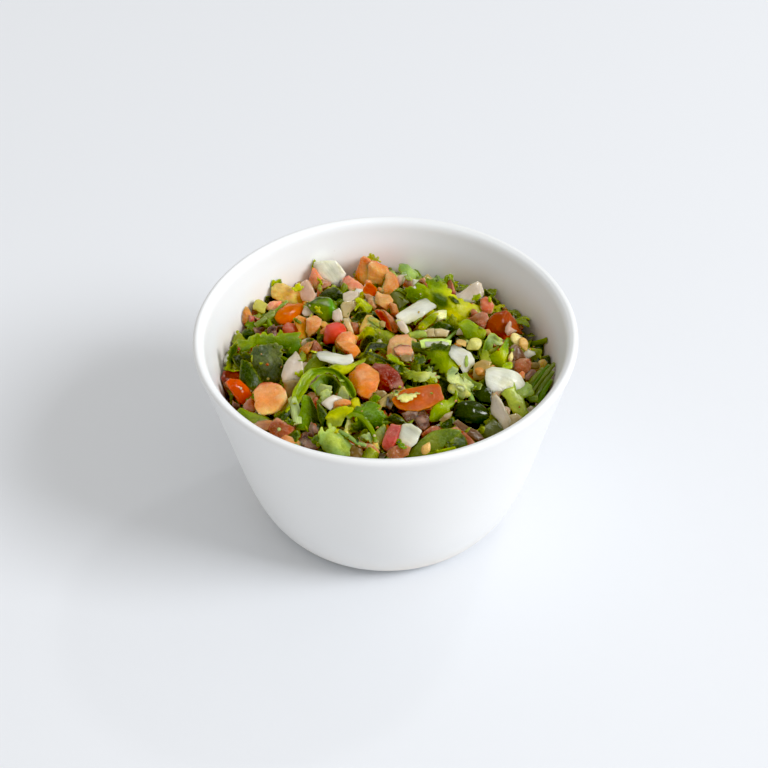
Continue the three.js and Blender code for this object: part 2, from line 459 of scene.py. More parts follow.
def tomato_colours(v, tint, mask, depth, d, rng, rise):
    """Skin, then redder flesh below it, then paler flesh with wet pulp and white threads; painted shade makes the lower
    part of each piece redder and darker, and painted light makes its top and its cut edges paler.
    """
    skin, outer, inner = (lin(c) for c in TOMATO[tint])
    seed = int(rng.integers(1 << 20))
    t = smooth(0.0, 2.8, depth + 1.6 * fbm(v, 0.26, seed, 2))[:, None]
    c = outer * (1 - t) + inner * t
    # painted shade: by height, the lower part of each piece is painted redder and darker
    rise = (rise - rise.min()) / max(float(np.ptp(rise)), 1e-6) + 0.30 * fbm(v, 0.22, seed + 31, 2)
    low = smooth(0.62, 0.15, rise)[:, None]
    c = c * (1 - low * np.array([-0.10, 0.17, 0.44]))
    deep = smooth(0.0, 0.5, fbm(v, 0.20, seed + 5, 2))[:, None]
    c = c * (1 - 0.50 * deep) + 0.50 * deep * (outer * np.array([1.02, 0.64, 0.36]))
    gold = smooth(0.05, 0.45, fbm(v, 0.17, seed + 15, 2))[:, None]
    c = c * (1 - 0.38 * gold) + 0.38 * gold * (outer * np.array([1.02, 1.02, 0.34]))
    light = inner * 0.5 + 0.5 * lin((250, 216, 190))
    # painted light: the top of each piece is painted paler
    high = smooth(0.70, 1.10, rise)[:, None]
    c = c * (1 - 0.28 * high) + 0.28 * high * light
    pale = smooth(0.12, 0.5, fbm(v * np.array([0.6, 1.1, 1.0]), 0.34, seed + 9, 2))[:, None]
    c = c * (1 - 0.50 * pale) + 0.50 * pale * light
    # painted light: the flesh is painted paler along its cut edges
    cut = (1.0 - smooth(0.0, 0.9, d + 0.5 * fbm(v, 0.5, seed + 19, 2)))[:, None]
    c = c * (1 - 0.20 * cut) + 0.20 * cut * light
    thread = smooth(0.80, 0.97, 1.0 - np.abs(noise(v * np.array([0.7, 1.5, 1.0]), 0.42, seed + 23)) * 2.2)[:, None]
    c = c * (1 - 0.10 * thread) + 0.10 * thread * light
    c = c * (1.0 + 0.12 * fbm(v, 0.7, seed + 11, 2))[:, None]
    skin_c = skin * (1.0 + 0.20 * fbm(v, 0.30, seed + 3, 2))[:, None]
    m = mask[:, None]
    return c * (1 - m) + skin_c * m


def painted(col, place, patches, share=None):
    """Lays patches of another tint over an outline's plane."""
    for poly, tint, soft in patches or ():
        inside = inside_poly(place, poly)
        d = edge_distance(place, poly) * np.where(inside, 1.0, -1.0)
        w = smooth(-soft, soft, d)[:, None]
        if share is not None:
            w = w * smooth(0.2, 0.6, share)[:, None]
        col = col * (1 - w) + lin(tint) * w
    return col


def chunk(kind, tint, c, n, u, poly, thick, rng, step=0.42, skin=None, bend=None, rough=1.0, sink=0.85, patches=None, amp=None, **shape):
    """One cut piece of tomato, onion or chilli with its outline poly in the plane (u, n x u) through c."""
    w = np.cross(n, u)
    v, f, place, d, share, out = solid(poly, -sink * thick, (1 - sink) * thick, step, rng, **shape)
    mask = np.zeros(len(v))
    depth = 0.9 + np.minimum(d, 2.0) * 0.6
    if skin == "top":
        mask = smooth(0.6, 0.95, share)
        depth = np.maximum((1 - sink) * thick - v[:, 2], 0.0)
    elif skin == "bottom":
        mask = smooth(0.4, 0.05, share)
        depth = v[:, 2] + sink * thick
    elif skin is not None:
        a = math.radians(skin)
        way = np.array([math.cos(a), math.sin(a)])
        mask = smooth(0.35, 0.65, out @ way)
        s = place @ way
        depth = s.max() - s
    seed = int(rng.integers(1 << 20))
    nr = normals_of(v, f)
    soft = 1.0 - 0.8 * mask
    if kind == "tomato_dice":
        move = (0.17 * fbm(v, 0.28, seed, 2) + (0.07 * fbm(v, 0.7, seed + 7, 2) - 0.10 * np.abs(noise(v, 0.45, seed + 8))) * soft) * rough
        col = tomato_colours(v, tint, mask, depth, np.where(share > 0.5, d, 0.3), rng, v @ np.array([u[2], w[2], n[2]]))
    elif kind == "onion_dice":
        step_up = 0.08 * smooth(-0.03, 0.03, np.sin(v[:, 1] * 1.15 + rng.uniform(0, 6)) - 0.75)
        move = (0.12 * fbm(v, 0.2, seed, 2) + 0.04 * fbm(v * np.array([0.2, 1.3, 1.0]), 0.8, seed + 7, 2)) * rough - step_up
        cut, film = (lin(x) for x in ONION[tint])
        t = (0.5 + 0.5 * fbm(v * np.array([0.22, 0.8, 1.0]), 0.4, seed + 2, 2))[:, None]
        col = cut * (1 - t * 0.6) + film * (t * 0.6)
        white = fbm(v, 0.18, seed + 6, 2)[:, None]
        col = col * np.clip(1 + 0.30 * white, 0.7, 1.14)
        clear = smooth(0.0, 0.5, fbm(v, 0.22, seed + 16, 2))[:, None]
        col = col * (1 - clear * np.array([0.17, 0.16, 0.18]))
        # painted shade: by height, the lower part of each piece is painted yellower, with less blue
        rise = v @ np.array([u[2], w[2], n[2]])
        low = smooth(0.6, 0.1, (rise - rise.min()) / max(float(np.ptp(rise)), 1e-6) + 0.3 * fbm(v, 0.22, seed + 12, 2))[:, None]
        col = col * (1 - low * np.array([-0.04, 0.04, 0.26]))
        thin = (1.0 - smooth(0.0, 1.3, d + 0.8 * fbm(v, 0.35, seed + 4, 2)))[:, None]
        col = col * (1 - 0.50 * thin) + 0.50 * thin * film * np.array([0.88, 0.84, 0.64])
    else:
        move = (0.12 * fbm(v, 0.3, seed, 2) + 0.05 * fbm(v, 1.0, seed + 7, 2) * soft) * rough
        sk, fl = (lin(x) for x in CHILLI[tint])
        m = mask[:, None]
        t = smooth(0.1, 1.4, depth)[:, None]
        flesh = (sk * 0.45 + fl * 0.55) * (1 - t) + fl * t
        col = flesh * (1 - m) + sk * m
        col = col * (1.0 + 0.22 * fbm(v, 0.45, seed + 3, 3))[:, None]
    col = painted(col, place, patches, share)
    # painted shade: sides and underside are painted darker, chilli most
    painted_side_shade = 0.25 if kind == "chilli_dice" else 0.06
    col = col * (1.0 - painted_side_shade + painted_side_shade * smooth(0.0, 0.8, share))[:, None]
    loc = v + rng.uniform(-400, 400, 3)
    v = v + nr * move[:, None]
    if bend is not None:
        v = bend_about(v, math.radians(bend[0]), bend[1])
    p = c + v[:, :1] * u + v[:, 1:2] * w + v[:, 2:] * n
    KINDS[kind].add(keep_in(p), f, col, loc, mask)


def resample(poly, step):
    """Points every step along a closed outline."""
    out = []
    k = len(poly)
    for i in range(k):
        a, b = poly[i], poly[(i + 1) % k]
        m = max(1, int(round(np.linalg.norm(b - a) / step)))
        for j in range(m):
            out.append(a + (b - a) * (j / m))
    return np.array(out)


def round_outline(p, times=1):
    for _ in range(times):
        q = np.roll(p, -1, 0)
        p = np.stack([p * 0.75 + q * 0.25, p * 0.25 + q * 0.75], 1).reshape(-1, 2)
    return p


def inside_poly(p, poly):
    x, y = p[:, 0][:, None], p[:, 1][:, None]
    a, b = poly, np.roll(poly, -1, 0)
    cond = (a[:, 1] > y) != (b[:, 1] > y)
    with np.errstate(divide="ignore", invalid="ignore"):
        xc = (b[:, 0] - a[:, 0]) * (y - a[:, 1]) / (b[:, 1] - a[:, 1]) + a[:, 0]
    return (np.sum(cond & (x < xc), 1) % 2) == 1


def edge_distance(p, poly):
    a, b = poly[None], np.roll(poly, -1, 0)[None]
    ab = b - a
    t = np.clip(((p[:, None] - a) * ab).sum(2) / np.maximum((ab ** 2).sum(2), 1e-9), 0, 1)
    return np.linalg.norm(p[:, None] - a - ab * t[..., None], axis=2).min(1)


def fill_outline(rim, step, rng):
    """Flat triangles inside a closed outline. Returns 2-D points, triangles and each point's distance to the edge."""
    lo, hi = rim.min(0), rim.max(0)
    gx = np.arange(lo[0], hi[0] + step, step)
    gy = np.arange(lo[1], hi[1] + step, step * 0.866)
    g = np.array([(x + (0.5 * step if j % 2 else 0.0), y) for j, y in enumerate(gy) for x in gx])
    g = g + rng.uniform(-0.12, 0.12, g.shape) * step
    if len(g):
        g = g[inside_poly(g, rim)]
    if len(g):
        g = g[edge_distance(g, rim) > step * 0.5]
    k = len(rim)
    pts = [Vector((float(a), float(b))) for a, b in (np.concatenate([rim, g]) if len(g) else rim)]
    edges = [(i, (i + 1) % k) for i in range(k)]
    v, _, f, _, _, _ = delaunay_2d_cdt(pts, edges, [], 1, 1e-5)
    v = np.array([(a.x, a.y) for a in v])
    f = np.array([t for t in f if len(t) == 3], int)
    e = v[f]
    area = (e[:, 1, 0] - e[:, 0, 0]) * (e[:, 2, 1] - e[:, 0, 1]) - (e[:, 1, 1] - e[:, 0, 1]) * (e[:, 2, 0] - e[:, 0, 0])
    f[area < 0] = f[area < 0][:, ::-1]
    used, f = np.unique(f, return_inverse=True)
    v, f = v[used], f.reshape(-1, 3)
    return v, f, edge_distance(v, rim)


def sheet(poly, step, teeth=0.0, tooth=2.4, rng=None, rounding=1):
    """Flat triangles over a leaf's outline, its edge serrated."""
    poly = ccw(poly)
    poly = round_outline(poly, rounding) if rounding > 1 else cut_corners(poly, 0.13)
    rim = resample(poly, step * (0.45 if teeth else 0.7))
    flat = np.column_stack([rim, np.zeros(len(rim))])
    rim = rim + rim_normals(rim) * (0.12 * fbm(flat, 0.55, int(abs(poly[0, 0]) * 997) % 4096, 3))[:, None]
    if teeth:
        out = rim_normals(rim)
        s = np.cumsum(np.linalg.norm(rim - np.roll(rim, 1, 0), axis=1))
        total = s[-1]
        turns = max(3, round(total / tooth))
        ph = s / total * turns * math.pi + rng.uniform(0, 3)
        w = 0.65 + 0.5 * np.sin(s / total * 2 * math.pi * 2.3 + rng.uniform(0, 6))
        rim = rim + out * ((np.abs(np.cos(ph)) ** 0.7 - 0.62) * 2.1 * teeth * w)[:, None]
    return fill_outline(rim, step, rng)


def shell(mid, f, thick, edge_dist=None, blunt=0.35):
    """A closed thin body about the surface mid. Returns points, triangles and which side each point is on."""
    n = normals_of(mid, f)
    t = np.full(len(mid), thick / 2)
    if edge_dist is not None:
        t = t * (blunt + (1 - blunt) * smooth(0.0, 0.5, edge_dist))
    k = len(mid)
    v = np.concatenate([mid + n * t[:, None], mid - n * t[:, None]])
    rim = border(f)
    side = np.concatenate([np.stack([rim[:, 1], rim[:, 0], rim[:, 0] + k], 1), np.stack([rim[:, 1], rim[:, 0] + k, rim[:, 1] + k], 1)])
    faces = np.concatenate([f, f[:, ::-1] + k, side])
    return v, faces, np.concatenate([np.ones(k), np.zeros(k)])


def leaf_colours(p2, edge, face, tint, rng, two=None, split=None, vein=None):
    a, b = (lin(x) for x in LEAF[tint])
    seed = int(rng.integers(1 << 20))
    q = np.column_stack([p2, np.zeros(len(p2))])
    c = np.where(face[:, None] > 0.5, a, b)
    if two is not None:
        ang, where, width = split
        s = p2[:, 0] * math.cos(math.radians(ang)) + p2[:, 1] * math.sin(math.radians(ang))
        t = smooth(where - width, where + width, s + 0.9 * fbm(q, 0.35, seed + 4, 2))[:, None]
        a2, b2 = (lin(x) for x in LEAF[two])
        c = c * (1 - t) + np.where(face[:, None] > 0.5, a2, b2) * t
    b = np.clip(1.0 + 0.58 * fbm(q, 0.18, seed, 2) + 0.18 * fbm(q, 0.7, seed + 3, 2), 0.40, 1.6)[:, None]
    c = c * b * np.concatenate([b ** 0.30, np.ones_like(b), b ** -0.1], 1)
    warm = smooth(0.0, 0.5, fbm(q, 0.26, seed + 9, 2))[:, None]
    c = c * (1 - warm * np.array([-0.14, -0.02, 0.30]))
    if vein is not None:
        line = vein[:, None]
        c = c * (1 - 0.28 * line) + 0.28 * line * (c * 1.25 + lin((96, 116, 30)) * 0.5)
    rimlight = (1.0 - smooth(0.0, 0.4, edge))[:, None]
    return c * (1 - 0.30 * rimlight) + 0.30 * rimlight * lin((176, 192, 52))


def leaf(tint, c, n, u, poly, rng, thick=0.2, step=0.56, teeth=0.0, tooth=2.4, cup=None, fold=None, ruffle=0.25, roll=None, two=None, split=None, rounding=1, patches=None, crease=0.13, quilt=0.07, folds=2):
    """One leaf piece: cup (axis, amount), fold (axis, place, degrees), roll (axis, radius), all about lines in its plane."""
    w = np.cross(n, u)
    p2, f, edge = sheet(poly, step, teeth, tooth, rng, rounding)
    if len(f) == 0:
        return
    seed = int(rng.integers(1 << 20))
    q = np.column_stack([p2, np.zeros(len(p2))])
    size = np.linalg.norm(p2, axis=1).max()
    z = 0.40 * fbm(q, 0.15, seed, 2) + ruffle * fbm(q, 0.40, seed + 3, 2) * (0.4 + 0.6 * (np.linalg.norm(p2, axis=1) / size) ** 2) * 1.1
    z = z + crease * (0.5 - np.abs(noise(q, 0.28, seed + 6)) - 0.5 * np.abs(noise(q, 0.6, seed + 8)))
    near, second = cells(p2 @ np.array([[0.8, -0.35], [0.5, 1.1]]), 0.62, seed + 11)
    vein = 1.0 - smooth(0.0, 0.30, second - near)
    z = z - quilt * vein - 0.5 * quilt * near
    if cup is not None:
        ang, k = math.radians(cup[0]), cup[1] * 0.65
        s = -p2[:, 0] * math.sin(ang) + p2[:, 1] * math.cos(ang)
        z = z - k * s * s / max(size, 1.0)
    for _ in range(folds):
        a = rng.uniform(0, math.pi)
        s = p2 @ np.array([math.cos(a), math.sin(a)]) - rng.uniform(-0.45, 0.45) * size
        turn = rng.uniform(0.08, 0.28) * (1 if rng.random() < 0.35 else -1)
        z = z + turn * (np.sqrt(s * s + 0.03) - 0.17)
    z = z - z.mean() if folds else z
    mid = np.column_stack([p2, z])
    if fold is not None:
        ang, off, deg = math.radians(fold[0]), fold[1], math.radians(fold[2])
        s = -mid[:, 0] * math.sin(ang) + mid[:, 1] * math.cos(ang) - off
        mid[:, 2] -= (np.sqrt(s * s + 0.09) - 0.3) * math.tan(deg / 2)
    if roll is not None:
        mid = bend_about(mid, math.radians(roll[0]), roll[1])
    p = c + mid[:, :1] * u + mid[:, 1:2] * w + mid[:, 2:] * n
    p = keep_in(p, 0.6)
    v, faces, face = shell(p, f, min(thick, 0.34), edge)
    loc = np.column_stack([p2, np.zeros(len(p2))]) + np.array([0, 0, float(rng.uniform(0, 900))])
    col = leaf_colours(np.concatenate([p2, p2]), np.concatenate([edge, edge]), face, tint, rng, two, split, np.concatenate([vein, vein]))
    # painted light and shade: raised parts of the leaf are painted lighter and yellower, its folds and hollows darker
    ridge = z - fbm(q, 0.12, seed + 21, 2) * 0.5
    ridge = smooth(-0.6, 0.6, ridge - np.median(ridge))[:, None]
    lit = 0.80 + 0.34 * ridge
    col = col * np.concatenate([lit, lit]) * np.concatenate([np.array([0.94, 1.0, 1.0]) + ridge * np.array([0.13, 0.02, 0.0])] * 2)
    col = painted(col, np.concatenate([p2, p2]), patches)
    KINDS["cilantro_leaves"].add(v, faces, col, np.concatenate([loc, loc]), np.concatenate([edge, edge]))


def peel(tint, c, n, u, poly, rng, thick=0.7, step=0.45, roll=None, cup=None, ruffle=0.12, inner=True):
    """A thin piece of tomato skin; inner is set where its flesh side is seen."""
    w = np.cross(n, u)
    p2, f, edge = sheet(cut_corners(ccw(poly), 0.06), step, 0.0, 2.4, rng, 0)
    seed = int(rng.integers(1 << 20))
    q = np.column_stack([p2, np.zeros(len(p2))])
    size = np.linalg.norm(p2, axis=1).max()
    z = ruffle * fbm(q, 0.3, seed, 3) * 2.0
    if cup is not None:
        ang, k = math.radians(cup[0]), cup[1]
        s = -p2[:, 0] * math.sin(ang) + p2[:, 1] * math.cos(ang)
        z = z - k * s * s / max(size, 1.0)
    mid = np.column_stack([p2, z])
    if roll is not None:
        mid = bend_about(mid, math.radians(roll[0]), roll[1])
    p = keep_in(c + mid[:, :1] * u + mid[:, 1:2] * w + mid[:, 2:] * n, 0.6)
    v, faces, face = shell(p, f, thick, edge, 0.8)
    skin, outer, flesh = (lin(x) for x in TOMATO[tint])
    pl, ed = np.concatenate([p2, p2]), np.concatenate([edge, edge])
    qq = np.column_stack([pl, face])
    side = face if inner else 1.0 - face
    t = smooth(-0.3, 0.5, fbm(qq, 0.3, seed + 2, 2))[:, None]
    meat = outer * (1 - t) + flesh * t
    col = skin * (1 - side[:, None]) + meat * side[:, None]
    lip = (1.0 - smooth(0.0, 0.55, ed))[:, None]
    col = col * (1 - 0.5 * lip) + 0.5 * lip * (flesh * 0.5 + 0.5 * lin((252, 170, 60)))
    col = col * (1.0 + 0.16 * fbm(qq, 0.5, seed + 3, 2))[:, None]
    loc = qq + rng.uniform(-300, 300, 3)
    KINDS["tomato_dice"].add(v, faces, col, loc, 0.75)


def smooth_curve(p, m):
    """m points on a smooth curve through p."""
    p = np.asarray(p, float)
    if len(p) == 2:
        t = np.linspace(0, 1, m)[:, None]
        return p[0] * (1 - t) + p[1] * t
    q = np.concatenate([[2 * p[0] - p[1]], p, [2 * p[-1] - p[-2]]])
    s = np.linspace(0, len(p) - 1 - 1e-9, m)
    i = s.astype(int)
    t = (s - i)[:, None]
    a, b, c, d = q[i], q[i + 1], q[i + 2], q[i + 3]
    return 0.5 * (2 * b + (c - a) * t + (2 * a - 5 * b + 4 * c - d) * t * t + (3 * b - a - 3 * c + d) * t ** 3)


def ribbon(tint, edge_a, edge_b, rng, m=None, k=None, thick=0.22, bulge=0.0, ruffle=0.15, two=None, step=0.6, ragged=0.25):
    """A leaf strip between two lines of points in space."""
    la = np.linalg.norm(np.diff(edge_a, axis=0), axis=1).sum()
    wb = np.linalg.norm(np.asarray(edge_a).mean(0) - np.asarray(edge_b).mean(0))
    m = m or int(np.clip(la / step, 8, 60))
    k = k or int(np.clip(wb / step, 4, 24))
    a, b = smooth_curve(edge_a, m), smooth_curve(edge_b, m)
    t = np.linspace(0, 1, k)
    g = a[:, None] * (1 - t)[None, :, None] + b[:, None] * t[None, :, None]
    along = np.gradient(g, axis=0)
    acr = np.gradient(g, axis=1)
    nr = np.cross(along, acr)
    nr /= np.maximum(np.linalg.norm(nr, axis=2, keepdims=True), 1e-9)
    seed = int(rng.integers(1 << 20))
    s_mm = np.concatenate([[0], np.cumsum(np.linalg.norm(np.diff((a + b) / 2, axis=0), axis=1))])
    w_mm = np.linalg.norm(a - b, axis=1)
    flat = np.stack([np.repeat(s_mm[:, None], k, 1), (t[None] - 0.5) * w_mm[:, None], np.zeros((m, k))], -1).reshape(-1, 3)
    near, second = cells(flat[:, :2] @ np.array([[0.8, -0.35], [0.5, 1.1]]), 0.62, seed + 11)
    vein = 1.0 - smooth(0.0, 0.30, second - near)
    z = (bulge * 4 * t * (1 - t))[None, :].repeat(m, 0).reshape(-1) + ruffle * fbm(flat, 0.4, seed, 3) * 1.8 - 0.10 * vein - 0.05 * near
    for _ in range(2):
        at = rng.uniform(-0.3, 0.3) * w_mm.max()
        z = z - rng.uniform(0.15, 0.4) * (np.sqrt((flat[:, 1] - at) ** 2 + 0.03) - 0.17)
    p = g.reshape(-1, 3) + nr.reshape(-1, 3) * z[:, None]
    rag = ragged * noise(flat * np.array([1, 0, 0]), 0.8, seed + 5) + 0.5 * ragged * noise(flat * np.array([1, 0, 0]), 2.1, seed + 6)
    far = np.abs(np.repeat(t[None], m, 0).reshape(-1) - 0.5) * 2
    p = p + acr.reshape(-1, 3) / np.maximum(np.linalg.norm(acr.reshape(-1, 3), axis=1, keepdims=True), 1e-9) * (rag * far ** 4)[:, None]
    p = keep_in(p, 0.6)
    i, j = np.meshgrid(np.arange(m - 1), np.arange(k - 1), indexing="ij")
    q = np.stack([i * k + j, (i + 1) * k + j, (i + 1) * k + j + 1, i * k + j + 1], -1).reshape(-1, 4)
    f = np.concatenate([q[:, [0, 1, 2]], q[:, [0, 2, 3]]])
    edge = np.minimum(np.minimum(t, 1 - t)[None] * w_mm[:, None], np.minimum(s_mm, s_mm[-1] - s_mm)[:, None]).reshape(-1)
    v, faces, face = shell(p, f, thick, edge)
    p2 = flat[:, :2]
    loc = flat + np.array([0, 0, float(rng.uniform(0, 900))])
    split = (0.0, float(s_mm[-1] * 0.5), 1.6) if two else None
    col = leaf_colours(np.concatenate([p2, p2]), np.concatenate([edge, edge]), face, tint, rng, two, split, np.concatenate([vein, vein]))
    KINDS["cilantro_leaves"].add(v, faces, col, np.concatenate([loc, loc]), np.concatenate([edge, edge]))


def tube(points, radii, tint, rng, sides=10, flat=1.0, kind="green_stems", colour=None):
    """A stem through points, oval if flat is under 1, cut square at its ends."""
    pts = np.asarray(points, float)
    length = np.linalg.norm(np.diff(pts, axis=0), axis=1).sum()
    m = int(np.clip(length / 0.7, 5, 60))
    c = smooth_curve(pts, m)
    rr = np.interp(np.linspace(0, 1, m), np.linspace(0, 1, len(radii)), radii)
    tan = np.gradient(c, axis=0)
    tan /= np.linalg.norm(tan, axis=1, keepdims=True)
    ref = np.array([0, 0, 1.0]) if abs(tan[0][2]) < 0.8 else np.array([1.0, 0, 0])
    x = np.cross(tan[0], ref)
    x /= np.linalg.norm(x)
    rings = []
    seed = int(rng.integers(1 << 20))
    ph = np.linspace(0, 2 * math.pi, sides, endpoint=False)
    for i in range(m):
        x = x - tan[i] * (x @ tan[i])
        x /= np.linalg.norm(x)
        y = np.cross(tan[i], x)
        ridge = 1.0 + 0.07 * np.cos(5 * ph)
        rings.append(c[i] + rr[i] * (np.cos(ph) * ridge)[:, None] * x + rr[i] * flat * (np.sin(ph) * ridge)[:, None] * y)
    v = np.concatenate(rings)
    v = v + 0.10 * fbm(v, 0.5, seed, 2)[:, None] * normals_tube(v, c, sides)
    i, j = np.meshgrid(np.arange(m - 1), np.arange(sides), indexing="ij")
    j2 = (j + 1) % sides
    q = np.stack([i * sides + j, i * sides + j2, (i + 1) * sides + j2, (i + 1) * sides + j], -1).reshape(-1, 4)
    f = [q[:, [0, 1, 2]], q[:, [0, 2, 3]]]
    n0 = len(v)
    ends = np.array([c[0] + tan[0] * rr[0] * 0.18, c[-1] - tan[-1] * rr[-1] * 0.18])
    v = np.concatenate([v, ends])
    k = np.arange(sides)
    f.append(np.stack([np.full(sides, n0), (k + 1) % sides, k], 1))
    f.append(np.stack([np.full(sides, n0 + 1), (m - 1) * sides + k, (m - 1) * sides + (k + 1) % sides], 1))
    f = np.concatenate(f)
    s = np.concatenate([[0], np.cumsum(np.linalg.norm(np.diff(c, axis=0), axis=1))])
    loc = np.column_stack([np.repeat(s, sides), np.tile(np.cos(ph), m), np.tile(np.sin(ph), m)])
    loc = np.concatenate([loc, [[0, 0, 0], [s[-1], 0, 0]]]) + np.array([float(rng.uniform(0, 500)), 0, 0])
    a, b = (lin(z) for z in (LEAF[tint] if colour is None else colour))
    t = (0.5 + 0.5 * fbm(loc, 0.6, seed + 2, 2))[:, None]
    col = a * (1 - t) + b * t
    col[n0:] = lin((206, 214, 140))
    col[:sides] = col[:sides] * 0.5 + 0.5 * lin((200, 210, 130))
    col[n0 - sides:n0] = col[n0 - sides:n0] * 0.5 + 0.5 * lin((200, 210, 130))
    KINDS[kind].add(keep_in(v), f, col, loc, 0.0)


def normals_tube(v, c, sides):
    centre = np.repeat(c, sides, 0)
    d = v - centre
    return d / np.maximum(np.linalg.norm(d, axis=1, keepdims=True), 1e-9)


def seed_piece(c, n, u, length, width, tint, rng):
    """A flat drop-shaped seed."""
    w = np.cross(n, u)
    q, f = cube_sphere(9)
    x, y, z = q[:, 0], q[:, 1], q[:, 2]
    taper = 1.0 - 0.42 * smooth(0.0, 1.0, x) - 0.08 * smooth(0.0, 1.0, -x)
    v = np.column_stack([x * length / 2 * (1 + 0.08 * x), y * width / 2 * taper, z * 0.62 * taper])
    v[:, 2] += 0.12 * np.cos(2.2 * v[:, 0]) * 0.5
    seed = int(rng.integers(1 << 20))
    v = v + q * (0.08 * fbm(v, 0.9, seed, 2))[:, None]
    base = lin(SEED[tint])
    rim = smooth(0.55, 0.95, np.hypot(x, y))[:, None]
    col = base * (1.0 + 0.18 * fbm(v, 0.9, seed + 3, 2))[:, None]
    col = col * (1 - 0.4 * rim) + 0.4 * rim * base * np.array([0.95, 0.80, 0.55])
    loc = v + rng.uniform(-300, 300, 3)
    p = c + v[:, :1] * u + v[:, 1:2] * w + v[:, 2:] * n
    KINDS["seeds"].add(keep_in(p), f, col, loc, 0.0)


# ---------------------------------------------------------------- the pieces that lie on top, sighted through windows of the 768 px frame
WINDOWS = {
    "A": (200, 215, 8.2526), "B": (370, 230, 8.2526), "C": (200, 340, 8.2526), "D": (370, 340, 8.2526),
    "E": (222, 248, 17.422), "F": (290, 248, 17.422), "G": (370, 248, 17.422), "H": (440, 268, 12.544),
}
COVER = []  # outlines on the ground plan, so that fillers go where nothing lies yet
SIGHTED = []  # kind, tint and outline in the frame of each piece


def sight(win, flat):
    x0, y0, s = WINDOWS[win]
    return np.array(flat, float).reshape(-1, 2) / s + np.array([x0, y0])


def laid(win, flat, h, psi, lam, ang):
    """The outline's plane: its centre, normal, first axis and the outline in that plane."""
    px = sight(win, flat)
    cx, cy = px.mean(0)
    c = on_level(cx, cy, h)
    n = tilt_normal(psi, lam)
    u, w = frame_at(c, n, ang)
    px = px.mean(0) + (px - px.mean(0)) * 1.07
    pts = np.array([on_plane(x, y, c, n) for x, y in px])
    COVER.append(pts[:, :2])
    d = pts - c
    poly = np.column_stack([d @ u, d @ w])
    return c, n, u, poly


def on_piece(patches, win, c, n, u):
    """Patches sighted in a window, brought into a piece's plane."""
    w = np.cross(n, u)
    out = []
    for flat, tint, soft in patches or ():
        pts = np.array([on_plane(x, y, c, n) for x, y in sight(win, flat)]) - c
        out.append((np.column_stack([pts @ u, pts @ w]), tint, soft))
    return out


def dice(kind, win, flat, tint, h=4.2, T=6.0, psi=32.0, lam=0.0, ang=0.0, seed=0, **kw):
    c, n, u, poly = laid(win, flat, h, psi, lam, ang)
    SIGHTED.append((kind, tint, seed, sight(win, flat)))
    kw["patches"] = on_piece(kw.get("patches"), win, c, n, u)
    chunk(kind, tint, c, n, u, poly, T, np.random.default_rng(1000 + seed), **kw)


def tom(*a, **k):
    dice("tomato_dice", *a, **k)


def oni(*a, **k):
    for name, value in (("T", 3.4), ("corner", 0.05), ("bevel", 0.24), ("facets", 1), ("slope", (0.1, 0.4)), ("lump", 0.15), ("wobble", 0.05), ("bulge", 0.03)):
        k.setdefault(name, value)
    dice("onion_dice", *a, **k)


def chi(*a, **k):
    for name, value in (("corner", 0.05), ("bevel", 0.24), ("facets", 1), ("slope", (0.2, 0.5)), ("lump", 0.2), ("wobble", 0.05), ("bulge", 0.03)):
        k.setdefault(name, value)
    dice("chilli_dice", *a, **k)


def lea(win, flat, tint, h=4.6, psi=25.0, lam=0.0, ang=0.0, seed=0, **kw):
    c, n, u, poly = laid(win, flat, h, psi, lam, ang)
    SIGHTED.append(("leaf", tint, seed, sight(win, flat)))
    kw["patches"] = on_piece(kw.get("patches"), win, c, n, u)
    leaf(tint, c, n, u, poly, np.random.default_rng(2000 + seed), **kw)


def pel(win, flat, tint, h=6.0, psi=40.0, lam=0.0, ang=0.0, seed=0, **kw):
    c, n, u, poly = laid(win, flat, h, psi, lam, ang)
    SIGHTED.append(("tomato_dice", tint, seed, sight(win, flat)))
    peel(tint, c, n, u, poly, np.random.default_rng(6000 + seed), **kw)


def line(win, flat, hs):
    px = sight(win, flat)
    hs = np.interp(np.linspace(0, 1, len(px)), np.linspace(0, 1, len(hs)), hs)
    return np.array([on_level(x, y, h) for (x, y), h in zip(px, hs)])


def rib(win, a, ha, b, hb, tint, seed=0, **kw):
    ea, eb = line(win, a, ha), line(win, b, hb)
    COVER.append(np.concatenate([ea, eb[::-1]])[:, :2])
    ribbon(tint, ea, eb, np.random.default_rng(3000 + seed), **kw)


def stem(win, at, hs, radii, tint, seed=0, **kw):
    tube(line(win, at, hs), radii, tint, np.random.default_rng(4000 + seed), **kw)


def see(win, x, y, ang, length, width, tint, h=5.0, psi=35.0, lam=0.0, seed=0):
    px = sight(win, [x, y])[0]
    c = on_level(px[0], px[1], h)
    n = tilt_normal(psi, lam)
    u, _ = frame_at(c, n, ang)
    seed_piece(c, n, u, length, width, tint, np.random.default_rng(5000 + seed))


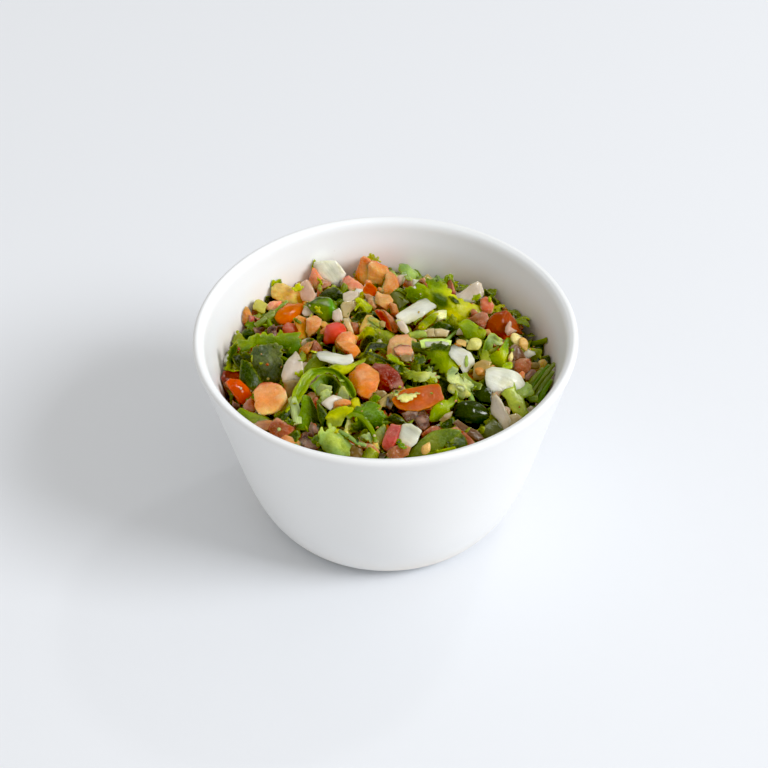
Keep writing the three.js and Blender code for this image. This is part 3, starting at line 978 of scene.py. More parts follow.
def top_pieces():
    # back left
    lea("E", [570, 950, 600, 830, 645, 780, 660, 620, 690, 490, 720, 475, 830, 495, 945, 495, 925, 580, 935, 640, 880, 700, 900, 870, 800, 980, 700, 930], "mid", h=4.5, psi=60, ang=0, seed=1, cup=(90, 0.8), two="bright", split=(90, 0.6, 1.4), teeth=0.3, ruffle=0.5)
    lea("E", [560, 990, 600, 850, 700, 800, 820, 840, 900, 880, 860, 1000, 700, 1020], "dark", h=3.4, psi=55, seed=2, cup=(90, 0.4))
    tom("E", [880, 680, 940, 620, 1060, 610, 1150, 640, 1260, 690, 1390, 700, 1400, 780, 1390, 900, 1400, 965, 1260, 970, 1150, 950, 1000, 920, 900, 870, 870, 800], "olive", h=5.2, T=6.5, psi=48, lam=-6, seed=3, rough=1.3)
    lea("E", [1230, 705, 1330, 610, 1415, 690, 1370, 740, 1260, 745], "lime", h=7.2, psi=30, seed=4, teeth=0.3, tooth=1.6, thick=0.5)
    tom("E", [330, 1060, 370, 1010, 450, 1040, 480, 1090, 500, 1180, 560, 1260, 560, 1400, 460, 1360, 330, 1270, 290, 1160], "salmon", h=4.6, T=6, psi=42, lam=28, seed=5, skin=215)
    tom("E", [480, 1010, 550, 975, 570, 1060, 640, 1130, 560, 1190, 510, 1170, 480, 1090], "red", h=3.8, T=5, psi=40, seed=6)
    oni("E", [545, 1010, 590, 910, 640, 900, 690, 920, 790, 985, 750, 1060, 740, 1130, 700, 1150, 600, 1080, 545, 1060], "lime", h=6.0, T=4.0, psi=42, lam=10, seed=7)
    tom("E", [760, 1000, 830, 940, 1030, 900, 1020, 960, 960, 1060, 930, 1110, 850, 1120, 770, 1060], "pink", h=4.6, T=5, psi=40, seed=8)
    tom("E", [960, 1110, 1060, 1040, 1140, 940, 1220, 960, 1400, 955, 1405, 1080, 1370, 1190, 1260, 1230, 1180, 1310, 1060, 1330, 970, 1280, 930, 1210], "amber", h=4.8, T=6.5, psi=34, lam=14, ang=30, seed=9, skin="top", bend=(60, 16))
    stem("E", [585, 1360, 680, 1290, 790, 1215], [4.2, 4.8, 5.0], [0.92, 0.95, 1.0], "olive", seed=10)
    stem("E", [790, 1225, 860, 1170, 930, 1150], [5.0, 5.2, 5.2], [1.1, 1.35, 1.0], "olive", seed=11)
    stem("E", [900, 1150, 1010, 1040, 1140, 925], [5.2, 5.6, 6.2], [0.62, 0.55, 0.5], "bright", seed=12)
    stem("E", [800, 1230, 840, 1330, 890, 1410], [4.9, 4.4, 3.8], [0.62, 0.6, 0.6], "bright", seed=13)
    tom("E", [560, 1400, 700, 1370, 880, 1400, 1050, 1330, 1060, 1420, 900, 1500, 700, 1520, 600, 1500], "brown", h=2.4, T=5, psi=35, seed=14)
    tom("E", [470, 1180, 560, 1190, 600, 1280, 570, 1370, 480, 1320], "crimson", h=3.6, T=4, psi=40, seed=15)
    chi("E", [580, 1180, 640, 1130, 710, 1190, 650, 1240, 600, 1230], "green", h=3.6, T=3, psi=30, seed=16)
    tom("E", [1060, 1350, 1150, 1310, 1330, 1330, 1350, 1440, 1340, 1500, 1100, 1500, 1060, 1430], "red", h=3.8, T=5, psi=34, seed=17)
    tom("E", [1180, 600, 1360, 555, 1440, 590, 1400, 660, 1150, 660], "salmon", h=3.6, T=5, psi=40, seed=18)
    lea("E", [330, 1520, 400, 1400, 480, 1400, 640, 1490, 600, 1568, 340, 1600], "mid", h=2.6, psi=40, seed=19, cup=(20, 1.5))
    # back middle
    lea("F", [280, 540, 330, 400, 350, 300, 385, 180, 435, 210, 420, 290, 410, 330, 390, 400, 360, 480, 330, 560, 300, 555], "pale", h=5.4, psi=82, ang=70, seed=20, two="lime", split=(0, 1.0, 1.0), step=0.4, cup=(0, 1.0))
    oni("F", [440, 260, 590, 225, 790, 235, 880, 330, 970, 450, 910, 570, 890, 690, 840, 680, 700, 590, 530, 500, 430, 340], "greenwhite", h=6.0, T=3.2, psi=58, lam=4, ang=-52, seed=21, bend=(0, 26))
    tom("F", [340, 540, 400, 350, 470, 390, 560, 530, 700, 590, 680, 640, 600, 700, 490, 740, 400, 700, 340, 620], "pink", h=4.8, T=6, psi=48, seed=22, skin=-60)
    tom("F", [560, 540, 700, 590, 690, 650, 610, 700, 500, 740, 480, 700], "plum", h=4.4, T=4, psi=44, seed=23)
    oni("F", [200, 620, 290, 560, 340, 620, 400, 720, 450, 820, 400, 900, 330, 1010, 270, 1000, 200, 860, 190, 780], "pinkclear", h=5.0, T=3.6, psi=50, lam=-12, ang=65, seed=24, bend=(0, 11))
    chi("F", [320, 1010, 480, 840, 640, 850, 690, 870, 740, 960, 770, 1080, 740, 1200, 620, 1265, 500, 1170, 380, 1100], "green", h=6.0, T=6.0, psi=34, lam=-20, ang=20, seed=25, skin="top", facets=2, slope=(0.35, 0.7),
        patches=[([665, 860, 700, 850, 760, 960, 790, 1080, 750, 1220, 690, 1230, 700, 1080, 680, 950], (92, 150, 20), 0.3), ([320, 1010, 480, 840, 640, 850, 600, 880, 500, 890, 420, 960, 380, 1010], (40, 62, 8), 0.5)])
    lea("F", [500, 790, 600, 700, 760, 660, 850, 720, 930, 790, 930, 900, 900, 990, 790, 1040, 750, 960, 680, 850, 560, 830], "dark", h=4.0, psi=30, seed=27, fold=(50, 0.0, 60), ruffle=0.8, teeth=0.3)
    lea("F", [880, 690, 930, 610, 1000, 650, 1010, 720, 930, 800, 880, 760], "olive", h=5.0, psi=50, seed=28, cup=(70, 1.5))
    tom("F", [930, 570, 960, 510, 1040, 470, 1130, 560, 1230, 620, 1290, 700, 1250, 760, 1060, 770, 990, 680, 930, 600], "pink", h=4.8, T=5.5, psi=46, lam=5, seed=29, skin=150)
    oni("F", [930, 800, 1040, 750, 1190, 760, 1170, 850, 1080, 930, 980, 970, 930, 900], "pinkwhite", h=6.0, T=3.0, psi=44, lam=-8, ang=25, seed=30)
    lea("F", [1130, 900, 1190, 860, 1300, 920, 1440, 1020, 1390, 1110, 1300, 1120, 1200, 1010], "lime", h=5.8, psi=44, lam=8, ang=-35, seed=31, thick=0.3, cup=(0, 0.5), ruffle=0.2, folds=2)
    lea("F", [1120, 1060, 1160, 980, 1230, 950, 1270, 985, 1190, 1030, 1140, 1110], "lime", h=6.2, psi=40, seed=32, thick=0.4)
    oni("F", [890, 1010, 930, 950, 1080, 940, 1170, 920, 1130, 1040, 1060, 1100, 1020, 1210, 930, 1210, 900, 1100], "clear", h=4.8, T=4.5, psi=44, ang=60, seed=33)
    oni("F", [750, 1110, 860, 1050, 900, 1100, 920, 1200, 900, 1290, 800, 1290, 740, 1230], "white", h=5.4, T=3.0, psi=50, ang=80, seed=34)
    oni("F", [920, 1240, 1030, 1220, 1060, 1330, 1110, 1470, 1100, 1510, 1000, 1440, 960, 1340], "clear", h=4.8, T=4.0, psi=44, ang=-60, seed=35, rough=2.0)
    oni("F", [210, 1130, 260, 1020, 330, 1040, 410, 1120, 400, 1180, 250, 1190], "white", h=4.0, T=4.0, psi=40, ang=0, seed=36)
    tom("F", [60, 1250, 160, 1190, 300, 1230, 330, 1300, 300, 1420, 270, 1560, 170, 1568, 150, 1430, 90, 1330], "amber", h=4.6, T=7, psi=38, lam=-10, seed=37, rough=1.2)
    tom("F", [300, 1240, 380, 1180, 470, 1175, 550, 1260, 530, 1350, 470, 1440, 350, 1510, 285, 1420], "salmon", h=5.8, T=6.5, psi=36, lam=10, seed=38, rough=1.4)
    tom("F", [560, 1640, 570, 1560, 600, 1460, 640, 1360, 720, 1300, 830, 1290, 930, 1330, 980, 1410, 960, 1480, 850, 1520, 800, 1640], "pink", h=5.8, T=7, psi=38, ang=60, seed=39, skin="top", bend=(0, 9), dome=0.5, patches=[([590, 1560, 640, 1370, 730, 1310, 830, 1300, 900, 1350, 800, 1400, 700, 1480, 640, 1600], (226, 104, 92), 0.9)])
    tom("F", [800, 1600, 860, 1500, 1000, 1450, 1200, 1530, 1180, 1600, 1150, 1720, 1050, 1800, 850, 1760], "orange", h=5.0, T=7, psi=36, lam=6, seed=40)
    tom("F", [1100, 480, 1150, 380, 1230, 200, 1290, 150, 1370, 190, 1430, 300, 1400, 430, 1350, 600, 1280, 670, 1200, 620], "orange", h=6.2, T=8, psi=50, lam=-8, seed=41, rough=1.2)
    lea("F", [1360, 130, 1410, 100, 1460, 110, 1490, 170, 1530, 150, 1575, 245, 1490, 230, 1420, 255, 1380, 210], "olive", h=8.2, psi=55, seed=42, teeth=0.35, tooth=1.5, step=0.45)
    pel("F", [1280, 730, 1330, 620, 1400, 620, 1500, 690, 1515, 760, 1460, 840, 1370, 810, 1290, 780], "skin", h=7.0, psi=46, lam=-6, seed=43, roll=(45, 5), inner=False)
    tom("F", [1290, 790, 1380, 800, 1470, 850, 1560, 960, 1540, 1060, 1440, 1000, 1340, 900], "peach", h=5.4, T=5, psi=42, seed=44)
    tom("F", [1290, 1220, 1340, 1170, 1420, 1180, 1568, 1320, 1590, 1400, 1480, 1420, 1400, 1370, 1300, 1400, 1230, 1560, 1215, 1400], "olive", h=4.6, T=6, psi=36, seed=45)
    lea("F", [1310, 1400, 1360, 1350, 1440, 1350, 1490, 1430, 1520, 1568, 1480, 1640, 1330, 1640, 1290, 1480], "lime", h=5.8, psi=44, lam=-10, seed=46, two="mid", split=(0, 1.0, 1.0), cup=(90, 0.3), teeth=0.35, tooth=1.8, ruffle=0.4)
    lea("F", [1060, 1250, 1180, 1120, 1290, 1110, 1430, 1150, 1440, 1190, 1300, 1230, 1200, 1290, 1080, 1290], "dark", h=4.8, psi=36, seed=47, ruffle=0.6, two="mid", split=(0, 3, 1))
    tom("F", [1060, 1290, 1200, 1310, 1220, 1500, 1120, 1490, 1070, 1380], "plum", h=3.4, T=5, psi=36, seed=48)
    # back right of the middle
    tom("G", [-30, 300, 30, 215, 110, 225, 200, 290, 290, 330, 330, 430, 300, 560, 260, 650, 180, 690, 80, 640, -20, 520], "salmon", h=6.6, T=8, psi=48, lam=6, seed=50, rough=1.3, skin=60)
    tom("G", [200, 740, 280, 580, 300, 440, 370, 400, 450, 490, 510, 660, 440, 750, 330, 830, 240, 790], "salmon", h=5.8, T=7, psi=44, lam=12, seed=51, skin=20)
    tom("G", [110, 800, 130, 740, 230, 790, 330, 830, 400, 920, 360, 1010, 280, 1070, 180, 1020, 60, 940, 90, 860], "salmon", h=6.0, T=6, psi=40, lam=6, seed=52, rough=1.3)
    tom("G", [-30, 880, 60, 850, 130, 920, 130, 1040, 60, 1080, -40, 1010], "peach", h=5.0, T=5, psi=40, seed=53, rough=1.3)
    pel("G", [90, 1080, 150, 1045, 220, 1100, 290, 1200, 345, 1310, 385, 1450, 310, 1410, 200, 1260, 110, 1140], "redskin", h=6.4, psi=42, lam=-14, ang=-50, seed=54, roll=(0, 5), inner=False)
    tom("G", [215, 1050, 280, 1090, 340, 1160, 430, 1260, 510, 1370, 485, 1470, 390, 1460, 330, 1320, 270, 1190], "rose", h=5.4, T=5, psi=40, lam=14, ang=-50, seed=55, skin=200)
    tom("G", [-20, 1210, 60, 1210, 160, 1280, 260, 1320, 230, 1390, 150, 1450, 60, 1420, -20, 1340], "olive", h=5.0, T=5.5, psi=38, seed=56)
    oni("G", [160, 1300, 210, 1265, 270, 1300, 255, 1380, 190, 1370], "cream", h=5.6, T=2.6, psi=40, seed=57)
    oni("G", [470, 1170, 560, 1080, 760, 930, 960, 765, 1005, 790, 1060, 880, 1140, 960, 1130, 1020, 990, 1130, 860, 1230, 700, 1300, 610, 1310, 500, 1230], "greenwhite", h=8.0, T=3.4, psi=44, lam=4, ang=34, seed=58, bend=(0, 22))
    lea("B", [312, 482, 345, 465, 398, 487, 388, 440, 412, 430, 455, 452, 492, 492, 470, 425, 462, 370, 505, 388, 545, 412, 600, 430, 640, 470, 690, 550, 760, 582, 840, 615, 922, 618, 900, 672, 850, 695, 815, 700, 790, 730, 740, 760, 690, 755, 655, 735, 600, 690, 540, 640, 470, 600, 380, 590, 330, 560],
        "bright", h=6.4, psi=38, lam=4, ang=-25, seed=59, step=0.55, cup=(0, 0.9), ruffle=0.55, teeth=0.45, tooth=2.2, rounding=1, two="lime", split=(30, 1.5, 2.5),
        patches=[([505, 520, 560, 520, 640, 560, 650, 640, 590, 650, 520, 600], (66, 92, 4), 0.8)])
    chi("G", [350, 830, 430, 745, 500, 710, 600, 750, 670, 810, 760, 870, 600, 1000, 500, 1085, 460, 1000, 400, 900], "olive", h=4.8, T=5, psi=36, seed=60)
    lea("G", [425, 750, 500, 695, 590, 720, 690, 800, 650, 840, 560, 775, 500, 745], "olive", h=6.6, psi=50, seed=61, step=0.45, cup=(-30, 1.5))
    oni("G", [575, 690, 640, 620, 740, 550, 845, 560, 800, 610, 760, 650, 650, 710], "greenwhite", h=4.6, T=3.0, psi=52, ang=40, seed=62)
    tom("G", [850, 565, 940, 515, 990, 560, 1000, 620, 1020, 700, 960, 650, 900, 600], "peach", h=4.8, T=4, psi=50, seed=63)
    tom("G", [1300, 645, 1340, 575, 1410, 560, 1450, 620, 1470, 720, 1505, 830, 1470, 865, 1400, 780], "redskin", h=4.6, T=4.5, psi=55, lam=-8, ang=-60, seed=64, skin=200)
    lea("G", [1425, 540, 1445, 535, 1475, 600, 1500, 700, 1490, 740, 1440, 690, 1420, 610], "dull", h=5.6, psi=62, ang=-70, seed=65, step=0.4)
    stem("G", [1140, 1200, 1230, 1160, 1330, 1160], [7.4, 7.4, 7.4], [1.6, 1.7, 1.5], "pale", seed=66, colour=((228, 232, 130), (250, 246, 200)))
    tom("G", [1130, 1170, 1190, 1110, 1260, 1085, 1335, 1130, 1340, 1180, 1230, 1180], "peach", h=8.2, T=2.4, psi=30, seed=67)
    lea("G", [840, 1390, 900, 1270, 1010, 1180, 1120, 1090, 1190, 1060, 1180, 1170, 1120, 1270, 1000, 1380, 960, 1430], "lime", h=6.8, psi=42, lam=-6, ang=40, seed=68, cup=(0, 0.8), ruffle=0.25, thick=0.3)
    lea("G", [760, 1290, 860, 1210, 900, 1200, 900, 1240, 820, 1290, 790, 1350], "olive", h=6.6, psi=45, seed=69, step=0.4, ruffle=0.5)
    oni("G", [445, 1240, 510, 1210, 570, 1260, 640, 1360, 680, 1450, 620, 1500, 540, 1440, 480, 1340], "pinkwhite", h=6.2, T=2.6, psi=46, ang=-60, seed=70, bend=(0, 9))
    lea("G", [440, 1240, 510, 1205, 540, 1250, 520, 1350, 490, 1350], "wet", h=7.2, psi=46, seed=71, step=0.4)
    oni("G", [990, 1420, 1110, 1400, 1120, 1540, 1000, 1540], "clear", h=5.4, T=3.4, psi=36, seed=72)
    oni("G", [1130, 1420, 1240, 1410, 1370, 1450, 1330, 1540, 1140, 1540], "clear", h=5.4, T=3.4, psi=36, lam=10, seed=73)
    lea("G", [1010, 1400, 1200, 1290, 1400, 1330, 1500, 1400, 1400, 1440, 1200, 1430], "mid", h=4.4, psi=30, seed=74)
    lea("G", [680, 1480, 840, 1440, 960, 1440, 990, 1560, 700, 1580], "pale", h=5.6, psi=36, seed=75, cup=(0, 1.4))
    # right
    oni("H", [190, 360, 300, 280, 400, 200, 470, 170, 520, 200, 540, 290, 550, 330, 500, 380, 400, 430, 280, 410], "pinkwhite", h=5.6, T=4.0, psi=52, lam=-6, ang=35, seed=80, bend=(0, 15))
    lea("H", [405, 400, 415, 345, 500, 325, 515, 345, 480, 400, 420, 412], "bright", h=7.6, psi=44, seed=81, step=0.45, teeth=0.25, tooth=1.6)
    lea("H", [560, 262, 640, 310, 690, 370, 750, 470, 795, 525, 745, 540, 690, 460, 640, 400, 560, 340], "dark", h=4.6, psi=62, ang=-45, seed=82, cup=(0, 1.4))
    tom("H", [510, 440, 520, 380, 580, 355, 630, 380, 650, 430, 680, 470, 660, 530, 640, 600, 560, 560, 510, 500], "pink", h=6.2, T=5.5, psi=48, lam=8, seed=83, rough=1.5)
    tom("H", [360, 620, 430, 590, 520, 540, 590, 570, 612, 640, 590, 720, 550, 765, 480, 720, 400, 660], "rose", h=5.6, T=5.5, psi=42, lam=8, seed=84, rough=1.2)
    tom("H", [580, 770, 620, 680, 680, 600, 720, 550, 840, 530, 900, 580, 1000, 650, 1060, 720, 1080, 790, 960, 795, 900, 850, 790, 895, 700, 840, 640, 820], "peach", h=6.0, T=7.5, psi=44, lam=10, ang=-30, seed=85, skin="top", bend=(0, 13), dome=1.6)
    oni("H", [820, 740, 870, 660, 900, 680, 890, 740, 960, 780, 890, 820, 840, 840, 810, 800], "pinkclear", h=7.4, T=2.4, psi=44, lam=-8, ang=-50, seed=86, rough=2.2)
    see("H", 955, 895, -62, 4.4, 3.0, "pale", h=7.4, psi=38, lam=6, seed=87)
    see("H", 1052, 950, -70, 4.2, 2.8, "tan", h=7.4, psi=40, lam=16, seed=88)
    see("H", 432, 955, -150, 4.9, 3.9, "green", h=7.0, psi=42, lam=0, seed=89)
    see("H", 272, 890, -62, 4.4, 2.7, "tan", h=9.4, psi=44, lam=6, seed=90)
    see("H", 888, 1120, 78, 3.2, 1.5, "pale", h=6.8, psi=44, lam=-10, seed=91)
    see("H", 500, 1300, -35, 3.5, 2.5, "brown", h=7.6, psi=44, lam=0, seed=92)
    lea("H", [240, 730, 270, 660, 300, 610, 350, 615, 420, 680, 500, 740, 570, 790, 540, 890, 400, 880, 330, 870, 290, 800], "bright", h=7.4, psi=40, lam=8, ang=-38, seed=93, thick=0.3, ruffle=0.12, folds=1, cup=(0, 0.7), rounding=0, two="bright", split=(0, 2.0, 2.0))
    rib("H", [520, 1060, 545, 940, 600, 845, 680, 830, 760, 880, 800, 905], [5.6, 6.4, 7.2, 7.6, 7.2, 6.6], [590, 1150, 610, 1060, 650, 975, 690, 960, 730, 970, 790, 935], [4.6, 4.6, 5.2, 5.6, 5.6, 5.8], "green", seed=94, bulge=0.8, two="wet")
    lea("H", [600, 1150, 700, 1050, 800, 960, 865, 870, 878, 950, 850, 1090, 830, 1240, 760, 1240, 690, 1200], "bright", h=7.0, psi=44, lam=14, ang=50, seed=95, fold=(60, 0.4, 40), two="green", split=(0, 1.5, 1.5))
    oni("H", [870, 1000, 930, 965, 1010, 1000, 1060, 1080, 1090, 1130, 1000, 1140, 930, 1170, 880, 1100], "grey", h=5.6, T=4.0, psi=40, lam=10, ang=-40, seed=96, bend=(0, 9))
    tom("H", [940, 1230, 960, 1170, 1020, 1130, 1100, 1140, 1145, 1200, 1130, 1280, 1060, 1340, 960, 1300], "rose", h=6.4, T=5, psi=42, lam=10, seed=97, rough=1.4)
    tom("H", [870, 1180, 940, 1160, 960, 1240, 950, 1300, 880, 1270], "brown", h=5.2, T=4, psi=40, seed=98)
    tom("H", [1060, 1360, 1140, 1270, 1210, 1290, 1230, 1330, 1170, 1420, 1080, 1440], "brown", h=4.6, T=5, psi=44, lam=20, seed=99)
    oni("H", [1130, 1250, 1150, 1190, 1240, 1190, 1250, 1250, 1190, 1270], "greenclear", h=5.2, T=3, psi=44, lam=20, seed=100)
    # middle right
    tom("B", [145, 960, 165, 900, 215, 855, 300, 845, 335, 880, 335, 960, 362, 1030, 340, 1090, 150, 1080], "salmon", h=6.0, T=7, psi=40, lam=-4, seed=110, rough=1.2)
    tom("D", [200, 62, 250, 30, 330, 42, 362, 100, 352, 140, 300, 122, 250, 138, 215, 105], "pink", h=6.6, T=3, psi=36, lam=4, seed=111, skin=90)
    oni("D", [245, 132, 300, 120, 350, 132, 340, 172, 290, 182, 260, 165], "greenclear", h=6.0, T=3, psi=40, seed=112)
    chi("B", [415, 900, 450, 885, 600, 885, 668, 905, 655, 952, 560, 978, 430, 972], "light", h=7.4, T=2.4, psi=38, lam=0, ang=-4, seed=113)
    oni("B", [460, 903, 600, 895, 650, 915, 640, 945, 560, 962, 470, 958], "greenwhite", h=8.1, T=2.0, psi=38, ang=-4, seed=114)
    oni("H", [120, 1040, 150, 930, 200, 870, 250, 940, 320, 990, 380, 1040, 440, 1130, 440, 1190, 380, 1260, 310, 1335, 240, 1230, 190, 1160, 150, 1120], "greenwhite", h=8.2, T=3.0, psi=46, lam=8, ang=-55, seed=115, bend=(0, 18))
    lea("D", [465, 92, 505, 70, 500, 0, 530, -60, 552, -30, 590, -55, 602, 0, 642, 5, 662, 60, 702, 160, 722, 222, 700, 292, 640, 300, 600, 262, 540, 222, 510, 170, 470, 135], "bright", h=7.4, psi=42, lam=2, ang=-50, seed=116, teeth=0.7, tooth=1.9, cup=(0, 0.8), two="mid", split=(150, 0.5, 1.5))
    lea("D", [640, 240, 682, 190, 722, 200, 735, 280, 790, 320, 852, 360, 815, 420, 740, 412, 700, 370, 640, 340], "wet", h=7.6, psi=44, lam=4, ang=-45, seed=117, ruffle=0.6, teeth=0.35, tooth=2.0)
    lea("D", [740, 280, 790, 270, 850, 330, 930, 372, 900, 405, 830, 412, 790, 380], "dull", h=6.6, psi=36, lam=6, seed=118, teeth=0.3)
    oni("H", [410, 1340, 440, 1200, 530, 1155, 640, 1190, 610, 1260, 585, 1400, 430, 1400], "cream", h=6.0, T=4, psi=46, ang=20, seed=119)
    oni("D", [955, 300, 965, 240, 1020, 205, 1080, 215, 1160, 240, 1240, 290, 1275, 350, 1275, 400, 1240, 445, 1180, 432, 1090, 422, 1010, 420, 968, 370], "greenwhite", h=8.0, T=5.5, psi=44, lam=4, ang=-25, seed=120, bend=(0, 17))
    for i, (x0, y0, x1, y1) in enumerate(((1095, 1500, 1290, 1260), (1110, 1530, 1370, 1220), (1150, 1560, 1440, 1195), (1190, 1640, 1420, 1300), (1230, 1700, 1400, 1400))):
        stem("H", [x0, y0, (x0 + x1) / 2 - 12, (y0 + y1) / 2, x1, y1], [3.2, 5.4, 7.4 - 0.6 * abs(i - 2)], [0.85, 0.8, 0.6], ("olive", "green", "olive", "dull", "green")[i], seed=121 + i, flat=0.7)
    # bottom right
    chi("D", [1085, 450, 1120, 410, 1190, 388, 1205, 430, 1260, 470, 1280, 550, 1300, 592, 1250, 636, 1190, 600, 1150, 540, 1130, 490], "green", h=6.6, T=4, psi=46, lam=6, ang=-50, seed=130, skin=60, bend=(0, 10))
    lea("D", [1180, 400, 1188, 345, 1205, 385, 1210, 430], "pale", h=8.0, psi=60, seed=131, step=0.4)
    oni("D", [1000, 560, 1010, 480, 1042, 455, 1082, 500, 1130, 590, 1160, 660, 1120, 742, 1080, 722, 1060, 660, 1005, 612], "white", h=6.2, T=3.4, psi=50, lam=-6, ang=-65, seed=132, bend=(0, 10))
    oni("D", [1150, 622, 1210, 610, 1252, 640, 1185, 695, 1130, 722], "clear", h=4.6, T=3, psi=46, lam=8, ang=30, seed=133)
    tom("D", [995, 430, 1040, 415, 1082, 430, 1070, 470, 1010, 500], "pink", h=5.6, T=3.5, psi=42, seed=134)
    chi("D", [680, 640, 700, 540, 760, 490, 850, 485, 905, 515, 965, 560, 995, 620, 965, 680, 880, 705, 780, 692, 700, 680], "dark", h=4.6, T=7, psi=36, lam=-4, ang=-10, seed=135, skin="top", bend=(0, 8), dome=2.2)
    chi("D", [880, 470, 900, 400, 960, 385, 1000, 420, 1000, 520, 930, 520], "dark", h=4.6, T=4, psi=40, seed=136, skin="top")
    chi("D", [890, 752, 960, 700, 1010, 655, 1060, 690, 1095, 745, 1020, 800, 940, 830, 900, 800], "olive", h=3.6, T=4.5, psi=40, lam=6, seed=137)
    oni("D", [690, 690, 730, 658, 800, 710, 880, 745, 945, 820, 920, 850, 860, 820, 800, 790, 740, 740], "grey", h=4.6, T=2.4, psi=42, ang=-35, seed=138, bend=(0, 9))
    tom("D", [655, 745, 720, 715, 790, 770, 862, 850, 800, 885, 740, 850], "rose", h=4.2, T=4, psi=42, ang=-30, seed=139)
    lea("D", [300, 985, 340, 920, 400, 850, 455, 795, 500, 762, 580, 742, 690, 738, 752, 758, 700, 795, 640, 838, 600, 885, 540, 935, 400, 970], "dull", h=5.6, psi=36, lam=-6, ang=30, seed=140, thick=0.45, ruffle=0.10, folds=1, crease=0.1, cup=(0, 1.1), step=0.6, rounding=2)
    lea("D", [640, 840, 700, 790, 750, 755, 785, 800, 802, 868, 720, 895, 665, 910], "mid", h=5.2, psi=36, lam=16, ang=-40, seed=141, cup=(0, 1.2), ruffle=0.1, two="olive", split=(180, 1, 1))
    lea("D", [380, 975, 480, 935, 600, 900, 690, 880, 700, 900, 560, 945, 430, 985], "bright", h=5.4, psi=50, seed=142, ruffle=0.1)
    see("D", 462, 898, 62, 3.8, 2.6, "tan", h=6.6, psi=44, lam=-4, seed=143)
    tom("D", [590, 910, 620, 850, 672, 900, 650, 930], "brown", h=4.6, T=3, psi=40, seed=144)
    oni("D", [240, 765, 272, 702, 340, 695, 422, 752, 380, 850, 330, 892, 270, 862, 228, 830], "greenwhite", h=5.8, T=4.5, psi=44, lam=-4, ang=-30, seed=145)
    lea("D", [215, 830, 250, 815, 262, 845, 302, 885, 285, 900, 240, 885], "green", h=6.8, psi=46, seed=146, step=0.4, teeth=0.3, tooth=1.3)
    tom("D", [98, 850, 130, 760, 172, 700, 262, 702, 242, 780, 220, 832, 190, 882, 150, 932, 110, 892], "crimson", h=5.4, T=6.5, psi=42, lam=-8, ang=60, seed=147, skin=-50)
    tom("D", [140, 940, 188, 882, 260, 868, 332, 890, 318, 950, 245, 992, 180, 988], "peach", h=4.6, T=5, psi=42, seed=148, rough=1.4)
    tom("D", [268, 612, 330, 583, 382, 590, 402, 640, 372, 712, 300, 692], "brown", h=3.6, T=5, psi=40, seed=149)
    tom("D", [378, 592, 450, 572, 492, 610, 492, 700, 450, 742, 408, 730, 372, 680], "brown", h=3.8, T=5.5, psi=40, seed=150)
    lea("D", [130, 652, 200, 600, 262, 640, 305, 695, 262, 702, 180, 682], "dark", h=4.8, psi=44, seed=151, cup=(0, 1.4))
    tom("D", [428, 772, 500, 715, 572, 700, 602, 730, 500, 762, 432, 802], "rose", h=4.2, T=4, psi=42, ang=25, seed=152)
    # the curled skin and what lies round it
    pel("D", [193, 488, 288, 398, 360, 385, 460, 358, 550, 338, 572, 400, 598, 492, 500, 550, 400, 586, 310, 582, 235, 556], "skin", h=6.8, psi=40, lam=4, ang=12, seed=160, roll=(0, -13), thick=0.9)
    tom("D", [550, 372, 586, 390, 592, 442, 560, 436], "rose", h=7.4, T=2.5, psi=46, seed=161)
    lea("D", [178, 432, 215, 403, 285, 412, 302, 440, 345, 430, 408, 412, 370, 462, 345, 492, 290, 517, 240, 492, 228, 456], "wet", h=8.0, psi=40, seed=162, teeth=0.5, tooth=1.5, step=0.45, ruffle=0.5, two="mid", split=(90, 0.8, 0.8))
    lea("D", [285, 235, 340, 223, 382, 236, 452, 228, 522, 260, 562, 312, 532, 342, 482, 322, 442, 342, 382, 342, 320, 302, 330, 265], "olive", h=7.4, psi=42, seed=163, teeth=0.55, tooth=1.6, step=0.5, ruffle=0.6, two="wet", split=(-20, 1, 1.2))
    lea("D", [495, 642, 520, 552, 590, 502, 662, 490, 700, 440, 690, 388, 722, 450, 702, 512, 662, 562, 642, 622, 572, 662, 510, 672], "bright", h=6.0, psi=44, lam=-4, ang=45, seed=164, cup=(0, 1.2), ruffle=0.4, teeth=0.25)
    oni("D", [570, 662, 620, 612, 682, 588, 665, 640, 602, 682], "greenclear", h=6.4, T=1.6, psi=44, ang=40, seed=165)
    lea("D", [578, 700, 650, 640, 692, 640, 692, 700, 640, 742, 590, 722], "mid", h=4.8, psi=44, seed=166)
    lea("D", [556, 300, 640, 330, 690, 400, 690, 470, 640, 480, 600, 420], "dark", h=4.0, psi=40, seed=167, ruffle=0.6)
    tom("D", [22, 222, 60, 186, 150, 198, 192, 240, 232, 290, 266, 350, 262, 402, 200, 392, 130, 432, 80, 412, 60, 330, 72, 280], "dark", h=5.2, T=7, psi=42, lam=6, ang=-40, seed=168, skin=40, bend=(0, 14))
    oni("D", [-5, 470, 40, 425, 110, 420, 135, 440, 95, 490, 20, 490], "greenclear", h=4.8, T=3, psi=44, ang=20, seed=169)
    oni("D", [68, 505, 140, 455, 182, 440, 200, 470, 150, 542, 90, 552], "cream", h=5.0, T=3, psi=46, ang=28, seed=170)
    lea("D", [-10, 88, 40, 108, 120, 148, 250, 196, 342, 214, 300, 228, 180, 208, 90, 172, -10, 120], "dark", h=5.2, psi=40, ang=-18, seed=171, step=0.45, ruffle=0.25)
    lea("D", [140, 92, 168, 58, 202, 98, 240, 160, 292, 202, 230, 198, 160, 152], "bright", h=7.8, psi=44, lam=-8, ang=-50, seed=172, step=0.5, teeth=0.3, tooth=1.8)
    lea("D", [365, 130, 400, 112, 462, 150, 440, 200, 400, 225, 372, 190], "mid", h=6.0, psi=40, seed=173, teeth=0.5, tooth=1.5, ruffle=0.6)
